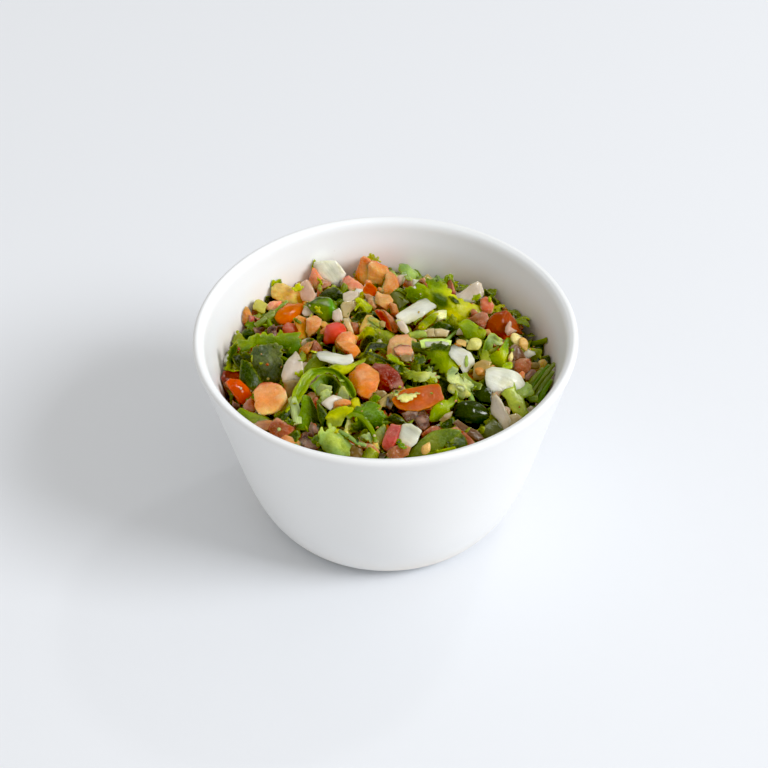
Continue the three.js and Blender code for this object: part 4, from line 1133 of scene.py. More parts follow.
    lea("D", [192, 210, 238, 192, 292, 232, 272, 282, 222, 288, 202, 260], "mid", h=5.6, psi=40, seed=174, teeth=0.3, tooth=1.6, step=0.5)
    # left
    lea("A", [318, 1025, 345, 1012, 375, 1040, 450, 1000, 540, 985, 640, 1008, 652, 952, 690, 985, 732, 975, 818, 962, 800, 1005, 822, 1040, 795, 1120, 740, 1130, 680, 1085, 585, 1080, 480, 1075, 430, 1105, 365, 1130, 330, 1080], "bright", h=6.6, psi=34, lam=-4, ang=8, seed=180, step=0.55, teeth=0.45, tooth=2.2, cup=(0, 0.9), ruffle=0.4, two="green", split=(-90, 1.2, 1.2))
    lea("C", [440, 72, 520, 42, 620, 30, 672, 52, 662, 160, 692, 222, 672, 292, 632, 372, 562, 332, 500, 332, 470, 270, 440, 202, 428, 132], "mottled", h=5.4, psi=40, lam=4, ang=-60, seed=181, teeth=0.4, tooth=2.2, ruffle=0.8, crease=0.42, quilt=0.26, fold=(0, 0.3, 24))
    lea("C", [345, 165, 400, 182, 450, 252, 500, 332, 522, 372, 430, 408, 362, 372, 328, 332, 333, 250], "mid", h=4.8, psi=42, lam=6, ang=-60, seed=182, cup=(0, 0.7), ruffle=0.15)
    lea("C", [222, 182, 238, 70, 285, 18, 302, 60, 292, 150, 276, 230, 246, 325, 222, 322], "lime", h=5.2, psi=66, lam=34, ang=80, seed=183, teeth=0.3, tooth=1.6, cup=(0, 1.2), two="mid", split=(0, -1, 1.5))
    lea("C", [290, 180, 330, 90, 350, 60, 345, 110, 310, 200, 290, 230], "dark", h=4.4, psi=60, lam=20, ang=65, seed=184, step=0.45)
    tom("C", [222, 352, 258, 312, 330, 325, 412, 372, 432, 430, 442, 470, 400, 532, 330, 522, 280, 452, 240, 392], "orange", h=4.6, T=5.5, psi=40, lam=14, ang=-35, seed=185, skin="top", bend=(0, 7))
    tom("C", [262, 490, 330, 530, 345, 570, 290, 580, 265, 550], "brown", h=3.0, T=4, psi=40, seed=186)
    tom("C", [458, 422, 500, 366, 590, 354, 652, 380, 702, 430, 722, 490, 716, 550, 650, 592, 590, 602, 530, 612, 488, 610, 463, 550], "salmon", h=6.4, T=7.5, psi=40, lam=6, ang=20, seed=187, rough=1.1, skin=80)
    oni("C", [733, 150, 780, 100, 822, 130, 846, 200, 850, 280, 820, 342, 760, 332, 690, 345, 680, 290, 702, 210], "white", h=6.4, T=4.2, psi=54, lam=2, ang=75, seed=188, bend=(0, 10))
    oni("C", [688, 350, 760, 335, 832, 342, 800, 420, 772, 482, 720, 472, 698, 410], "greenclear", h=5.0, T=3.4, psi=50, ang=70, seed=189)
    lea("C", [850, 250, 900, 170, 970, 122, 1000, 158, 1062, 190, 1000, 220, 920, 240, 862, 272], "olive", h=5.4, psi=44, ang=30, seed=190, thick=0.3, cup=(0, 1.0))
    rib("C", [655, 660, 720, 560, 770, 430, 830, 320, 915, 238, 1010, 212, 1100, 222, 1195, 290, 1262, 370, 1290, 460],
        [4.6, 5.6, 6.4, 7.2, 7.8, 8.0, 7.8, 7.2, 6.4, 5.6],
        [640, 700, 760, 590, 850, 470, 905, 370, 975, 295, 1060, 270, 1130, 300, 1180, 370, 1210, 430, 1240, 480],
        [3.6, 4.4, 5.2, 5.8, 6.4, 6.6, 6.4, 6.0, 5.4, 4.8], "bright", seed=191, bulge=0.9, two="green", step=0.5)
    rib("C", [905, 380, 975, 300, 1060, 275, 1130, 305, 1180, 370], [6.2, 6.8, 7.0, 6.8, 6.2], [930, 440, 1010, 380, 1080, 380, 1120, 420, 1150, 470], [3.4, 3.4, 3.2, 3.2, 3.2], "green", seed=192, bulge=-0.6, two="dark")
    lea("C", [1065, 216, 1130, 190, 1200, 202, 1270, 160, 1362, 108, 1352, 162, 1292, 202, 1240, 262, 1180, 288, 1110, 242], "lime", h=7.4, psi=42, ang=22, seed=193, cup=(0, 1.0), ruffle=0.3)
    rib("C", [812, 530, 835, 470, 900, 440, 965, 458, 1000, 510, 1022, 570], [6.4, 7.0, 7.4, 7.4, 7.0, 6.4], [805, 735, 845, 760, 880, 765, 935, 755, 985, 745, 1030, 700], [2.4, 2.2, 2.0, 2.0, 2.2, 2.6], "green", seed=194, bulge=-1.2, two="dark")
    lea("C", [968, 520, 1010, 555, 1062, 622, 1045, 700, 1012, 725, 975, 640], "mid", h=6.4, psi=54, lam=10, ang=-70, seed=195, cup=(0, 1.4))
    stem("C", [760, 480, 790, 590, 810, 700], [5.6, 5.4, 4.6], [1.2, 1.5, 1.3], "wet", seed=196, flat=0.6)
    lea("C", [600, 650, 680, 590, 760, 540, 775, 640, 740, 720, 680, 700], "mid", h=4.6, psi=40, seed=197, cup=(40, 1.2))
    tom("C", [1238, 265, 1290, 230, 1300, 185, 1342, 163, 1402, 200, 1472, 262, 1476, 330, 1452, 402, 1420, 442, 1390, 482, 1328, 462, 1288, 420, 1238, 340], "orange", h=7.2, T=8, psi=42, lam=4, ang=20, seed=198, rough=0.8, corner=0.02, wobble=0.06, facets=4, slope=(0.35, 0.9))
    oni("C", [966, 70, 1040, 48, 1100, 80, 1190, 108, 1250, 88, 1260, 170, 1232, 202, 1160, 207, 1080, 192, 1000, 160], "greenwhite", h=8.2, T=2.6, psi=40, lam=2, ang=-12, seed=199, bend=(0, 24))
    tom("C", [1140, 10, 1232, 0, 1292, 40, 1322, 92, 1292, 132, 1240, 152, 1220, 100, 1180, 80], "orange", h=6.2, T=6, psi=40, lam=8, seed=200)
    # bottom left
    oni("C", [1003, 520, 1050, 480, 1100, 448, 1162, 470, 1182, 492, 1112, 522, 1080, 582, 1030, 552], "pinkwhite", h=7.4, T=3, psi=44, ang=25, seed=210)
    tom("C", [1088, 560, 1110, 508, 1180, 480, 1232, 500, 1242, 522, 1160, 548, 1110, 575], "salmon", h=7.4, T=4, psi=44, ang=20, seed=211)
    lea("C", [1000, 432, 1042, 398, 1082, 432, 1072, 472, 1010, 512, 995, 470], "wet", h=7.0, psi=50, seed=212, step=0.45, teeth=0.3, tooth=1.4)
    lea("C", [1238, 560, 1290, 562, 1340, 540, 1372, 498, 1432, 498, 1482, 540, 1470, 582, 1532, 620, 1502, 650, 1548, 682, 1522, 722, 1480, 742, 1430, 762, 1340, 742, 1280, 762, 1238, 732, 1270, 690, 1300, 640, 1260, 600], "green", h=6.4, psi=42, lam=2, ang=20, seed=213, teeth=0.5, tooth=2.0, cup=(0, 0.7), step=0.55, two="dark", split=(250, 2.0, 1.5))
    lea("C", [1040, 650, 1060, 600, 1110, 568, 1180, 543, 1242, 550, 1262, 580, 1240, 622, 1190, 642, 1170, 692, 1130, 727, 1068, 700], "lime", h=7.0, psi=44, lam=-4, ang=15, seed=214, teeth=0.3, tooth=2.2, ruffle=0.5, two="olive", split=(-90, 0.6, 1.0))
    stem("C", [1215, 645, 1262, 615, 1330, 640, 1390, 700, 1430, 770, 1452, 845], [7.2, 7.6, 7.8, 7.4, 6.8, 6.0], [0.7, 0.8, 0.85, 0.8, 0.7, 0.6], "bright", seed=215, flat=0.6, sides=12)
    lea("C", [983, 770, 1010, 718, 1040, 772, 1070, 698, 1102, 710, 1122, 790, 1162, 760, 1202, 820, 1252, 862, 1232, 932, 1182, 982, 1100, 962, 1050, 932, 1000, 862], "pale", h=6.4, psi=44, lam=4, ang=-40, seed=216, teeth=0.5, tooth=2.2, cup=(0, 0.8), ruffle=0.4, step=0.5)
    stem("C", [1150, 750, 1230, 800, 1300, 850, 1370, 872], [6.8, 7.0, 6.6, 5.8], [0.5, 0.55, 0.55, 0.5], "pale", seed=217)
    tom("C", [568, 735, 600, 682, 640, 650, 700, 680, 782, 715, 770, 760, 730, 792, 640, 802, 590, 772], "rose", h=5.0, T=5.5, psi=42, lam=-4, ang=-20, seed=218)
    tom("C", [438, 700, 480, 660, 590, 660, 602, 682, 560, 742, 500, 742], "peach", h=4.0, T=4, psi=42, seed=219)
    tom("C", [668, 812, 710, 785, 790, 815, 862, 857, 830, 897, 740, 872, 680, 842], "salmon", h=4.6, T=4, psi=44, ang=-28, seed=220)
    tom("C", [820, 820, 850, 768, 920, 763, 982, 850, 992, 912, 900, 902, 830, 882], "brown", h=3.6, T=5, psi=42, seed=221)
    lea("C", [303, 590, 340, 558, 420, 600, 520, 623, 607, 660, 560, 722, 540, 757, 470, 702, 400, 672, 340, 622], "dull", h=4.8, psi=42, ang=-30, seed=222, cup=(0, 1.4), ruffle=0.15, two="bright", split=(180, 1.5, 1.5))
    tom("C", [1308, 800, 1372, 850, 1442, 868, 1482, 920, 1452, 952, 1380, 902, 1320, 882], "peach", h=5.0, T=4, psi=42, ang=-30, seed=223, rough=1.4)
    oni("C", [1225, 920, 1262, 872, 1330, 880, 1352, 942, 1330, 985, 1240, 965], "tan", h=4.6, T=3.5, psi=42, seed=224)
    lea("C", [1335, 985, 1345, 930, 1400, 882, 1472, 932, 1460, 992, 1400, 1000], "olive", h=5.2, psi=44, seed=225, cup=(60, 1.4))
    lea("C", [1325, 790, 1400, 768, 1442, 800, 1420, 842, 1350, 812], "wet", h=6.2, psi=44, seed=226, step=0.45, teeth=0.3, tooth=1.4)
    lea("C", [705, 660, 730, 645, 760, 660, 790, 690, 760, 700, 720, 690], "mid", h=5.8, psi=50, seed=227, step=0.4, teeth=0.4, tooth=1.2)
    lea("C", [1290, 150, 1360, 100, 1400, 20, 1500, 20, 1568, 40, 1568, 60, 1450, 80, 1400, 130], "dark", h=5.0, psi=36, seed=228)


# ---------------------------------------------------------------- what lies below and where nothing was sighted
def random_outline(rng, length, width, corners):
    a = np.sort(rng.uniform(-1.1, 1.1, corners) / corners * 2.2 + np.linspace(0, 2 * math.pi, corners, endpoint=False))
    r = rng.uniform(0.72, 1.18, corners)
    return np.column_stack([np.cos(a) * r * length / 2, np.sin(a) * r * width / 2])


def leaf_outline(rng, size, cut):
    """A lobed leaf, cut across by a knife if cut is set."""
    a = np.linspace(-math.pi, math.pi, 56, endpoint=False)
    lobes = [(0.0, 1.0, 0.62), (1.15, 0.92, 0.58), (-1.15, 0.92, 0.58), (2.15, 0.62, 0.5), (-2.15, 0.62, 0.5)]
    r = np.full_like(a, 0.22)
    for at, tall, wide in lobes:
        at += rng.uniform(-0.12, 0.12)
        d = np.abs((a - at + math.pi) % (2 * math.pi) - math.pi) / (wide * rng.uniform(0.9, 1.15))
        r = np.maximum(r, tall * rng.uniform(0.88, 1.08) * np.clip(np.cos(np.minimum(d, 1.0) * math.pi / 2), 0, 1) ** 0.42)
    p = np.column_stack([np.cos(a) * r, np.sin(a) * r]) * size / 2
    if cut:
        t = rng.uniform(0, 2 * math.pi)
        n = np.array([math.cos(t), math.sin(t)])
        over = p @ n - rng.uniform(-0.05, 0.22) * size
        p = p - np.maximum(over, 0)[:, None] * n
        keep = np.linalg.norm(p - np.roll(p, 1, 0), axis=1) > 0.02 * size
        p = p[keep]
    return p - p.mean(0)


def random_axes(rng, lean):
    n = tilt_normal(rng.uniform(-lean, lean), rng.uniform(-lean, lean))
    a = rng.uniform(0, 2 * math.pi)
    u = np.array([math.cos(a), math.sin(a), 0.0])
    u = u - n * (u @ n)
    return n, u / np.linalg.norm(u)


def cover_grid():
    g = np.arange(-50, 51, 1.0)
    xx, yy = np.meshgrid(g, g, indexing="ij")
    pts = np.column_stack([xx.ravel(), yy.ravel()])
    full = np.zeros(len(pts), bool)
    for poly in COVER:
        full |= inside_poly(pts, poly)
    return full.reshape(xx.shape)


def filler(x, y, h, rng, step, lean=30.0, big=1.0, what=None):
    r = math.hypot(x, y)
    c = np.array([x, y, float(level(r)) + h])
    n, u = random_axes(rng, lean)
    pick = rng.random() if what is None else what
    if pick < 0.30:
        tint = rng.choice(["orange", "salmon", "pink", "red", "rose", "dark", "amber", "crimson", "peach"], p=[.2, .15, .15, .08, .12, .1, .08, .06, .06])
        size = rng.uniform(5.8, 9.2) * big
        skin = [None, "top", float(rng.uniform(0, 360))][int(rng.integers(3))]
        bend = (rng.uniform(0, 180), rng.uniform(10, 20)) if rng.random() < 0.6 else None
        chunk("tomato_dice", str(tint), c, n, u, random_outline(rng, size, size * rng.uniform(0.6, 1.0), int(rng.integers(4, 7))), rng.uniform(4.5, 7) * big, rng, step, skin, bend, float(rng.uniform(0.9, 1.5)))
    elif pick < 0.45:
        tint = rng.choice(["white", "cream", "greenwhite", "pinkwhite", "pinkclear", "clear", "greenclear"], p=[.34, .12, .2, .18, .08, .05, .03])
        size = rng.uniform(5.5, 10.0) * big
        chunk("onion_dice", str(tint), c, n, u, random_outline(rng, size, size * rng.uniform(0.45, 0.8), int(rng.integers(4, 7))), rng.uniform(2.4, 4.2), rng, step, None, (rng.uniform(-15, 15), rng.uniform(9, 22)), corner=0.05, bevel=0.24, facets=1, slope=(0.1, 0.4), lump=0.15, wobble=0.05, bulge=0.03)
    elif pick < 0.51:
        tint = rng.choice(["green", "dark", "light", "olive"], p=[.42, .1, .28, .2])
        size = rng.uniform(5.0, 7.5) * big
        chunk("chilli_dice", str(tint), c, n, u, random_outline(rng, size, size * rng.uniform(0.7, 1.0), int(rng.integers(4, 6))), rng.uniform(2.6, 4.0), rng, step, "top", (rng.uniform(0, 180), rng.uniform(8, 14)), corner=0.05, bevel=0.24, facets=1, wobble=0.05, bulge=0.03)
    elif pick < 0.58:
        d = u * rng.uniform(4, 9) * big
        mid = n * rng.uniform(-0.6, 1.2)
        tube([c - d, c + mid, c + d], [rng.uniform(0.5, 0.9)] * 2, str(rng.choice(["bright", "olive", "mid", "pale"])), rng, 8)
    else:
        tint = rng.choice(["bright", "lime", "mid", "olive", "green", "dark", "pale", "dull"], p=[.24, .10, .14, .18, .08, .08, .09, .09])
        size = rng.uniform(9, 17) * big
        poly = leaf_outline(rng, size, rng.random() < 0.6)
        kw = dict(teeth=rng.uniform(0.2, 0.6), tooth=rng.uniform(1.7, 2.6), ruffle=rng.uniform(0.3, 0.8), step=step * 1.2)
        shape = rng.random()
        if shape < 0.35:
            kw["cup"] = (rng.uniform(0, 180), rng.uniform(0.6, 1.6))
        elif shape < 0.7:
            kw["fold"] = (rng.uniform(0, 180), rng.uniform(-1, 1), rng.uniform(20, 80))
        else:
            kw["roll"] = (rng.uniform(0, 180), rng.uniform(4, 9))
        leaf(str(tint), c, n, u, poly, rng, **kw)


def fill_below_and_between():
    golden = math.pi * (3 - math.sqrt(5))
    # a bed under everything
    count = 150
    Kind.shade = 1.0
    for i in range(count):
        rng = np.random.default_rng(7000 + i)
        r = 46.0 * math.sqrt((i + 0.5) / count)
        a = i * golden
        filler(r * math.cos(a) + rng.uniform(-1, 1), r * math.sin(a) + rng.uniform(-1, 1), rng.uniform(-1.2, 0.8), rng, 1.0, 28.0)
    # the top where nothing was sighted
    Kind.shade = 1.0
    full = cover_grid()
    count = 210
    for i in range(count):
        rng = np.random.default_rng(8000 + i)
        r = 46.5 * math.sqrt((i + 0.5) / count)
        a = i * golden + 1.1
        x, y = r * math.cos(a), r * math.sin(a)
        gx, gy = int(round(x + 50)), int(round(y + 50))
        near = full[max(gx - 3, 0):gx + 4, max(gy - 3, 0):gy + 4]
        if near.mean() > 0.30:
            continue
        filler(x + rng.uniform(-1, 1), y + rng.uniform(-1, 1), rng.uniform(1.6, 3.4), rng, 0.6, 32.0)
    # scraps in the gaps
    rng = np.random.default_rng(8500)
    put = []
    for _ in range(2600):
        r, a = 46.0 * math.sqrt(rng.random()), rng.uniform(0, 2 * math.pi)
        x, y = r * math.cos(a), r * math.sin(a)
        if full[int(round(x + 50)), int(round(y + 50))] or any(math.hypot(x - p, y - q) < 2.7 for p, q in put):
            continue
        put.append((x, y))
        # painted shade with some random tone: the scraps in the gaps are mostly painted darker
        Kind.shade = rng.uniform(0.8, 1.05)
        pick = rng.random()
        what = 0.1 if pick < 0.26 else 0.4 if pick < 0.42 else 0.55 if pick < 0.52 else 0.8
        filler(x, y, rng.uniform(1.4, 3.0), rng, 0.6, 38.0, rng.uniform(0.42, 0.66), what)
    Kind.shade = 1.0


def soak():
    """Paints shade on what lies deep between other pieces, where light hardly reaches, and paints light into the lower
    parts of tomato and onion flesh.
    """
    cell, half = 0.5, 54.0
    m = int(2 * half / cell)
    high = np.full((m, m), 40.0)
    for k in KINDS.values():
        for v in k.v:
            i = np.clip(((v[:, :2] + half) / cell).astype(int), 0, m - 1)
            np.maximum.at(high, (i[:, 0], i[:, 1]), v[:, 2])
    wide = np.maximum.reduce([np.roll(np.roll(high, a, 0), b, 1) for a in (-1, 0, 1) for b in (-1, 0, 1)])
    for _ in range(2):
        for axis in (0, 1):
            wide = sum(np.roll(wide, s, axis) for s in range(-4, 5)) / 9.0
    for name, k in KINDS.items():
        for n, v in enumerate(k.v):
            i = np.clip(((v[:, :2] + half) / cell).astype(int), 0, m - 1)
            under = wide[i[:, 0], i[:, 1]] - v[:, 2]
            if name in ("tomato_dice", "onion_dice"):
                # painted light: tomato and onion are painted brighter the deeper they lie and darker at the top,
                # standing in for light passing down through the flesh
                least = 0.75 if name == "onion_dice" else 0.76
                k.col[n] = np.minimum(k.col[n] * (least + 0.72 * smooth(-1.0, 3.4, under))[:, None], 0.97)
            # painted shade: every piece is painted darker and warmer the deeper it lies below its neighbours
            deep = smooth(0.2, 5.0, under)[:, None]
            k.col[n] = k.col[n] * (1.0 - deep * np.array([0.12, 0.20, 0.36]))


def tree_of_pieces():
    v = np.concatenate([np.concatenate(k.v) for k in KINDS.values() if k.v])
    fs, base = [], 0
    for k in KINDS.values():
        if k.v:
            fs.append(np.concatenate(k.f) + base)
            base += k.count
    return BVHTree.FromPolygons(v.tolist(), np.concatenate(fs).tolist(), epsilon=0.0)


def spread(a, reach, how):
    """The greatest or the mean of a grid within reach cells along each axis."""
    for axis in (0, 1):
        parts = [np.roll(a, s, axis) for s in range(-reach, reach + 1)]
        a = np.maximum.reduce(parts) if how == "max" else sum(parts) / len(parts)
    return a


def wedge_between():
    """Small pieces wedged in the hollows between the larger ones, of the sort that lies beside them."""
    tree = tree_of_pieces()
    step = 2.0
    xs, ys = np.arange(196, 576, step), np.arange(216, 470, step)
    h = np.full((len(xs), len(ys)), -9.0)
    eye = Vector(EYE)
    for i, x in enumerate(xs):
        for j, y in enumerate(ys):
            hit = tree.ray_cast(eye, Vector(ray(x, y)).normalized())[0]
            if hit is not None and math.hypot(hit.x, hit.y) < 46.5:
                h[i, j] = hit.z - float(level(math.hypot(hit.x, hit.y)))
    inside = h > -8
    upper = spread(spread(np.where(inside, h, 2.0), 4, "max"), 3, "mean")
    deep = inside & (upper - h > 3.4)
    gx, gy = np.meshgrid(xs, ys, indexing="ij")
    grid = np.column_stack([gx.ravel(), gy.ravel()]).astype(float)
    free = np.ones(len(grid), bool)
    for _, _, _, poly in SIGHTED:
        free &= ~inside_poly(grid, np.asarray(poly, float))
    deep &= free.reshape(deep.shape)
    centres = np.array([p.mean(0) for _, _, _, p in SIGHTED])
    rng = np.random.default_rng(8800)
    spots = np.argwhere(deep)
    made = 0
    for n in rng.permutation(len(spots)):
        i, j = spots[n]
        if not deep[i, j] or made >= 90:
            continue
        wide = deep[max(i - 4, 0):i + 5, max(j - 4, 0):j + 5].sum()
        if wide < 5:
            continue
        size = float(np.clip(0.57 * math.sqrt(wide) * 1.6, 2.8, 6.0))
        x, y = xs[i], ys[j]
        c = on_level(x, y, float(upper[i, j]) - rng.uniform(2.6, 3.6))
        reach = size * 0.5 / (0.29 * step)
        gi, gj = np.ogrid[:len(xs), :len(ys)]
        deep &= (gi - i) ** 2 + (gj - j) ** 2 > (reach * 0.8) ** 2
        if math.hypot(c[0], c[1]) > 45.5:
            continue
        near = np.argsort(((centres - (x, y)) ** 2).sum(1))[:3]
        kind, tint = SIGHTED[int(near[int(rng.integers(3))])][:2]
        nrm = tilt_normal(rng.uniform(15, 62), rng.uniform(-30, 30))
        u, _ = frame_at(c, nrm, rng.uniform(0, 360))
        # painted shade: the wedged pieces are painted darker where they lie in the hollows
        Kind.shade = rng.uniform(0.72, 0.98)
        if kind == "onion_dice" and rng.random() < 0.5:
            kind, tint = "leaf", "olive"
        if kind == "tomato_dice":
            if rng.random() < 0.5:
                tint = rng.choice(["amber", "olive", "orange", "salmon", "rose", "amber", "olive"])
            chunk(kind, str(tint), c, nrm, u, random_outline(rng, size, size * rng.uniform(0.6, 1.0), int(rng.integers(4, 7))), size * 0.6, rng, 0.5, None, None, 1.4)
        elif kind == "onion_dice":
            tint = rng.choice(["white", "greenwhite", "pinkwhite", "cream", "pinkclear"])
            chunk(kind, str(tint), c, nrm, u, random_outline(rng, size, size * rng.uniform(0.5, 0.8), int(rng.integers(4, 6))), size * 0.45, rng, 0.5, None, None, facets=1, lump=0.15, wobble=0.08, bulge=0.03)
        else:
            if kind == "chilli_dice" or tint == "mottled":
                tint = rng.choice(["mid", "green", "olive"])
            leaf(str(tint), c, nrm, u, random_outline(rng, size * 1.5, size * rng.uniform(0.6, 1.1), int(rng.integers(5, 8))), rng, step=0.75, teeth=rng.uniform(0.0, 0.3), tooth=1.8, ruffle=0.3)
        made += 1
    Kind.shade = 1.0


def draped(p, tree, lift):
    """Brings points down onto what lies under them."""
    out = p.copy()
    for i, q in enumerate(p):
        at, nrm, _, _ = tree.find_nearest(Vector(q), 3.0)
        if at is not None:
            n = np.array(nrm) if (Vector(q) - at).dot(nrm) >= 0 else -np.array(nrm)
            out[i] = 0.3 * q + 0.7 * (np.array(at) + n * lift)
    return out


def crumbs():
    """Shreds of leaf, and flecks of leaf and pulp, each set on what lies under it."""
    tree = tree_of_pieces()
    rng = np.random.default_rng(99)
    eye = Vector(EYE)
    for turn in range(140):
        if turn % 2:
            r, a = 45.5 * math.sqrt(rng.random()), rng.uniform(0, 2 * math.pi)
            d = Vector((rng.uniform(-0.5, 0.5), rng.uniform(-0.2, 0.9), -1.0)).normalized()
            hit, nrm, _, _ = tree.ray_cast(Vector((r * math.cos(a), r * math.sin(a), 52.0)) - d * 30, d)
        else:
            r, a = math.sqrt(rng.random()), rng.uniform(0, 2 * math.pi)
            x, y = 386 + 168 * r * math.cos(a), 348 + 105 * r * math.sin(a)
            if rng.random() < 0.7 and any(k != "leaf" and inside_poly(np.array([[x, y]]), np.asarray(p, float))[0] for k, _, _, p in SIGHTED):
                continue
            hit, nrm, _, _ = tree.ray_cast(eye, Vector(ray(x, y)).normalized())
        if hit is None or math.hypot(hit.x, hit.y) > 46 or hit.z < float(level(math.hypot(hit.x, hit.y))) - 1.5:
            continue
        n = np.array(nrm)
        if n @ BACK < 0:
            n = -n
        n = n + rng.normal(0, 0.2, 3)
        n /= np.linalg.norm(n)
        u = np.cross(n, rng.normal(0, 1, 3))
        u /= np.linalg.norm(u)
        w = np.cross(n, u)
        c = np.array(hit)
        kind = rng.random()
        if kind < 0.42:
            size = rng.uniform(1.8, 4.6)
            if rng.random() < 0.25:
                poly = leaf_outline(rng, size * 1.25, True)
            else:
                poly = random_outline(rng, size, size * rng.uniform(0.2, 0.42), int(rng.integers(5, 8)))
            p2, ff, edge = sheet(poly, 0.6, 0.14, 1.1, rng, 0)
            if len(ff) == 0:
                continue
            q = np.column_stack([p2, np.zeros(len(p2))])
            z = 0.25 * fbm(q, 0.5, int(rng.integers(9999)), 2) + rng.uniform(-0.12, 0.12) * p2[:, 0] ** 2
            p = draped(c + n * 0.3 + p2[:, :1] * u + p2[:, 1:2] * w + z[:, None] * n, tree, 0.22)
            vv, faces, face = shell(keep_in(p, 0.6), ff, 0.16, edge)
            tint = str(rng.choice(["bright", "lime", "mid", "green", "olive", "pale"], p=[.3, .2, .18, .12, .12, .08]))
            col = leaf_colours(np.concatenate([p2, p2]), np.concatenate([edge, edge]), face, tint, rng)
            loc = np.concatenate([q, q]) + rng.uniform(0, 300)
            KINDS["cilantro_leaves"].add(vv, faces, col, loc, 0.3)
            continue
        if kind < 0.62:
            size = rng.uniform(0.6, 1.7)
            poly = random_outline(rng, size, size * rng.uniform(0.4, 0.9), int(rng.integers(4, 7)))
            p2, ff, edge = sheet(poly, 0.6, 0, 1, rng, 0)
            if len(ff) == 0:
                continue
            z = rng.uniform(-0.25, 0.25) * p2[:, 0] ** 2
            p = c + n * 0.16 + p2[:, :1] * u + p2[:, 1:2] * w + z[:, None] * n
            vv, faces, face = shell(keep_in(p, 0.6), ff, 0.18)
            tint = LEAF[str(rng.choice(["bright", "mid", "green", "olive", "lime", "pale"]))]
            col = np.broadcast_to(lin(tint[0]), vv.shape)
        else:
            size = rng.uniform(0.35, 1.05)
            q, faces = cube_sphere(4)
            s = np.array([1, rng.uniform(0.5, 0.9), rng.uniform(0.35, 0.6)]) * size / 2
            q = q * (1 + 0.35 * noise(q * 3 + 20, 0.7, int(rng.integers(9999))))[:, None] * s
            vv = keep_in(c + n * s[2] * 0.5 + q[:, :1] * u + q[:, 1:2] * w + q[:, 2:] * n)
            base_c = [(222, 158, 106), (206, 112, 56), (216, 200, 160), (196, 92, 36), (200, 172, 84)][int(rng.integers(5))]
            col = np.broadcast_to(lin(base_c), vv.shape)
        KINDS["crumbs"].add(vv, faces, col, vv * 1.0, 0.0)


# ---------------------------------------------------------------- materials
class Nodes:
    """A Principled material with short ways to add nodes."""

    def __init__(self, name):
        self.mat = bpy.data.materials.new(name)
        self.mat.use_nodes = True
        self.tree = self.mat.node_tree
        self.tree.nodes.clear()
        out = self.tree.nodes.new("ShaderNodeOutputMaterial")
        self.bsdf = self.tree.nodes.new("ShaderNodeBsdfPrincipled")
        self.tree.links.new(self.bsdf.outputs[0], out.inputs[0])

    def link(self, value, socket):
        if isinstance(value, bpy.types.NodeSocket):
            self.tree.links.new(value, socket)
        else:
            socket.default_value = value

    def set(self, **kw):
        for k, v in kw.items():
            self.link(v, self.bsdf.inputs[k.replace("_", " ")])

    def math(self, op, a, b=0.0, c=None, clamp=False):
        n = self.tree.nodes.new("ShaderNodeMath")
        n.operation, n.use_clamp = op, clamp
        self.link(a, n.inputs[0])
        self.link(b, n.inputs[1])
        if c is not None:
            self.link(c, n.inputs[2])
        return n.outputs[0]

    def mix(self, fac, a, b, blend="MIX"):
        n = self.tree.nodes.new("ShaderNodeMix")
        n.data_type, n.blend_type = "RGBA", blend
        self.link(fac, n.inputs["Factor"])
        self.link(a, n.inputs[6])
        self.link(b, n.inputs[7])
        return n.outputs[2]

    def attr(self, name, out="Vector"):
        n = self.tree.nodes.new("ShaderNodeAttribute")
        n.attribute_name = name
        return n.outputs[out]

    def coords(self):
        return self.tree.nodes.new("ShaderNodeTexCoord").outputs["Object"]

    def scale(self, vec, s):
        n = self.tree.nodes.new("ShaderNodeVectorMath")
        n.operation = "MULTIPLY"
        self.link(vec, n.inputs[0])
        n.inputs[1].default_value = s
        return n.outputs[0]

    def noise(self, vec, scale, detail=2.0, rough=0.5, distortion=0.0, out=0):
        n = self.tree.nodes.new("ShaderNodeTexNoise")
        self.link(vec, n.inputs["Vector"])
        n.inputs["Scale"].default_value = scale
        n.inputs["Detail"].default_value = detail
        n.inputs["Roughness"].default_value = rough
        n.inputs["Distortion"].default_value = distortion
        return n.outputs[out]

    def voronoi(self, vec, scale, feature="F1", out="Distance"):
        n = self.tree.nodes.new("ShaderNodeTexVoronoi")
        n.feature = feature
        if feature == "SMOOTH_F1":
            n.inputs["Smoothness"].default_value = 0.5
        self.link(vec, n.inputs["Vector"])
        n.inputs["Scale"].default_value = scale
        return n.outputs[out]

    def ramp(self, fac, *stops):
        n = self.tree.nodes.new("ShaderNodeValToRGB")
        self.link(fac, n.inputs[0])
        e = n.color_ramp.elements
        while len(e) < len(stops):
            e.new(0.5)
        for i, (at, c) in enumerate(stops):
            e[i].position = at
            e[i].color = (*c, 1.0) if not np.isscalar(c) else (c, c, c, 1.0)
        return n.outputs[0]

    def span(self, fac, a, b, c, d):
        n = self.tree.nodes.new("ShaderNodeMapRange")
        self.link(fac, n.inputs[0])
        for i, x in enumerate((a, b, c, d)):
            n.inputs[1 + i].default_value = x
        return n.outputs[0]

    def split(self, vec):
        n = self.tree.nodes.new("ShaderNodeSeparateXYZ")
        self.link(vec, n.inputs[0])
        return n.outputs

    def bump(self, height, distance, strength=1.0, into=None):
        n = self.tree.nodes.new("ShaderNodeBump")
        self.link(height, n.inputs["Height"])
        n.inputs["Distance"].default_value = distance
        n.inputs["Strength"].default_value = strength
        for socket in (into,) if into else ("Normal", "Coat Normal"):
            self.link(n.outputs[0], self.bsdf.inputs[socket])
        return n.outputs[0]


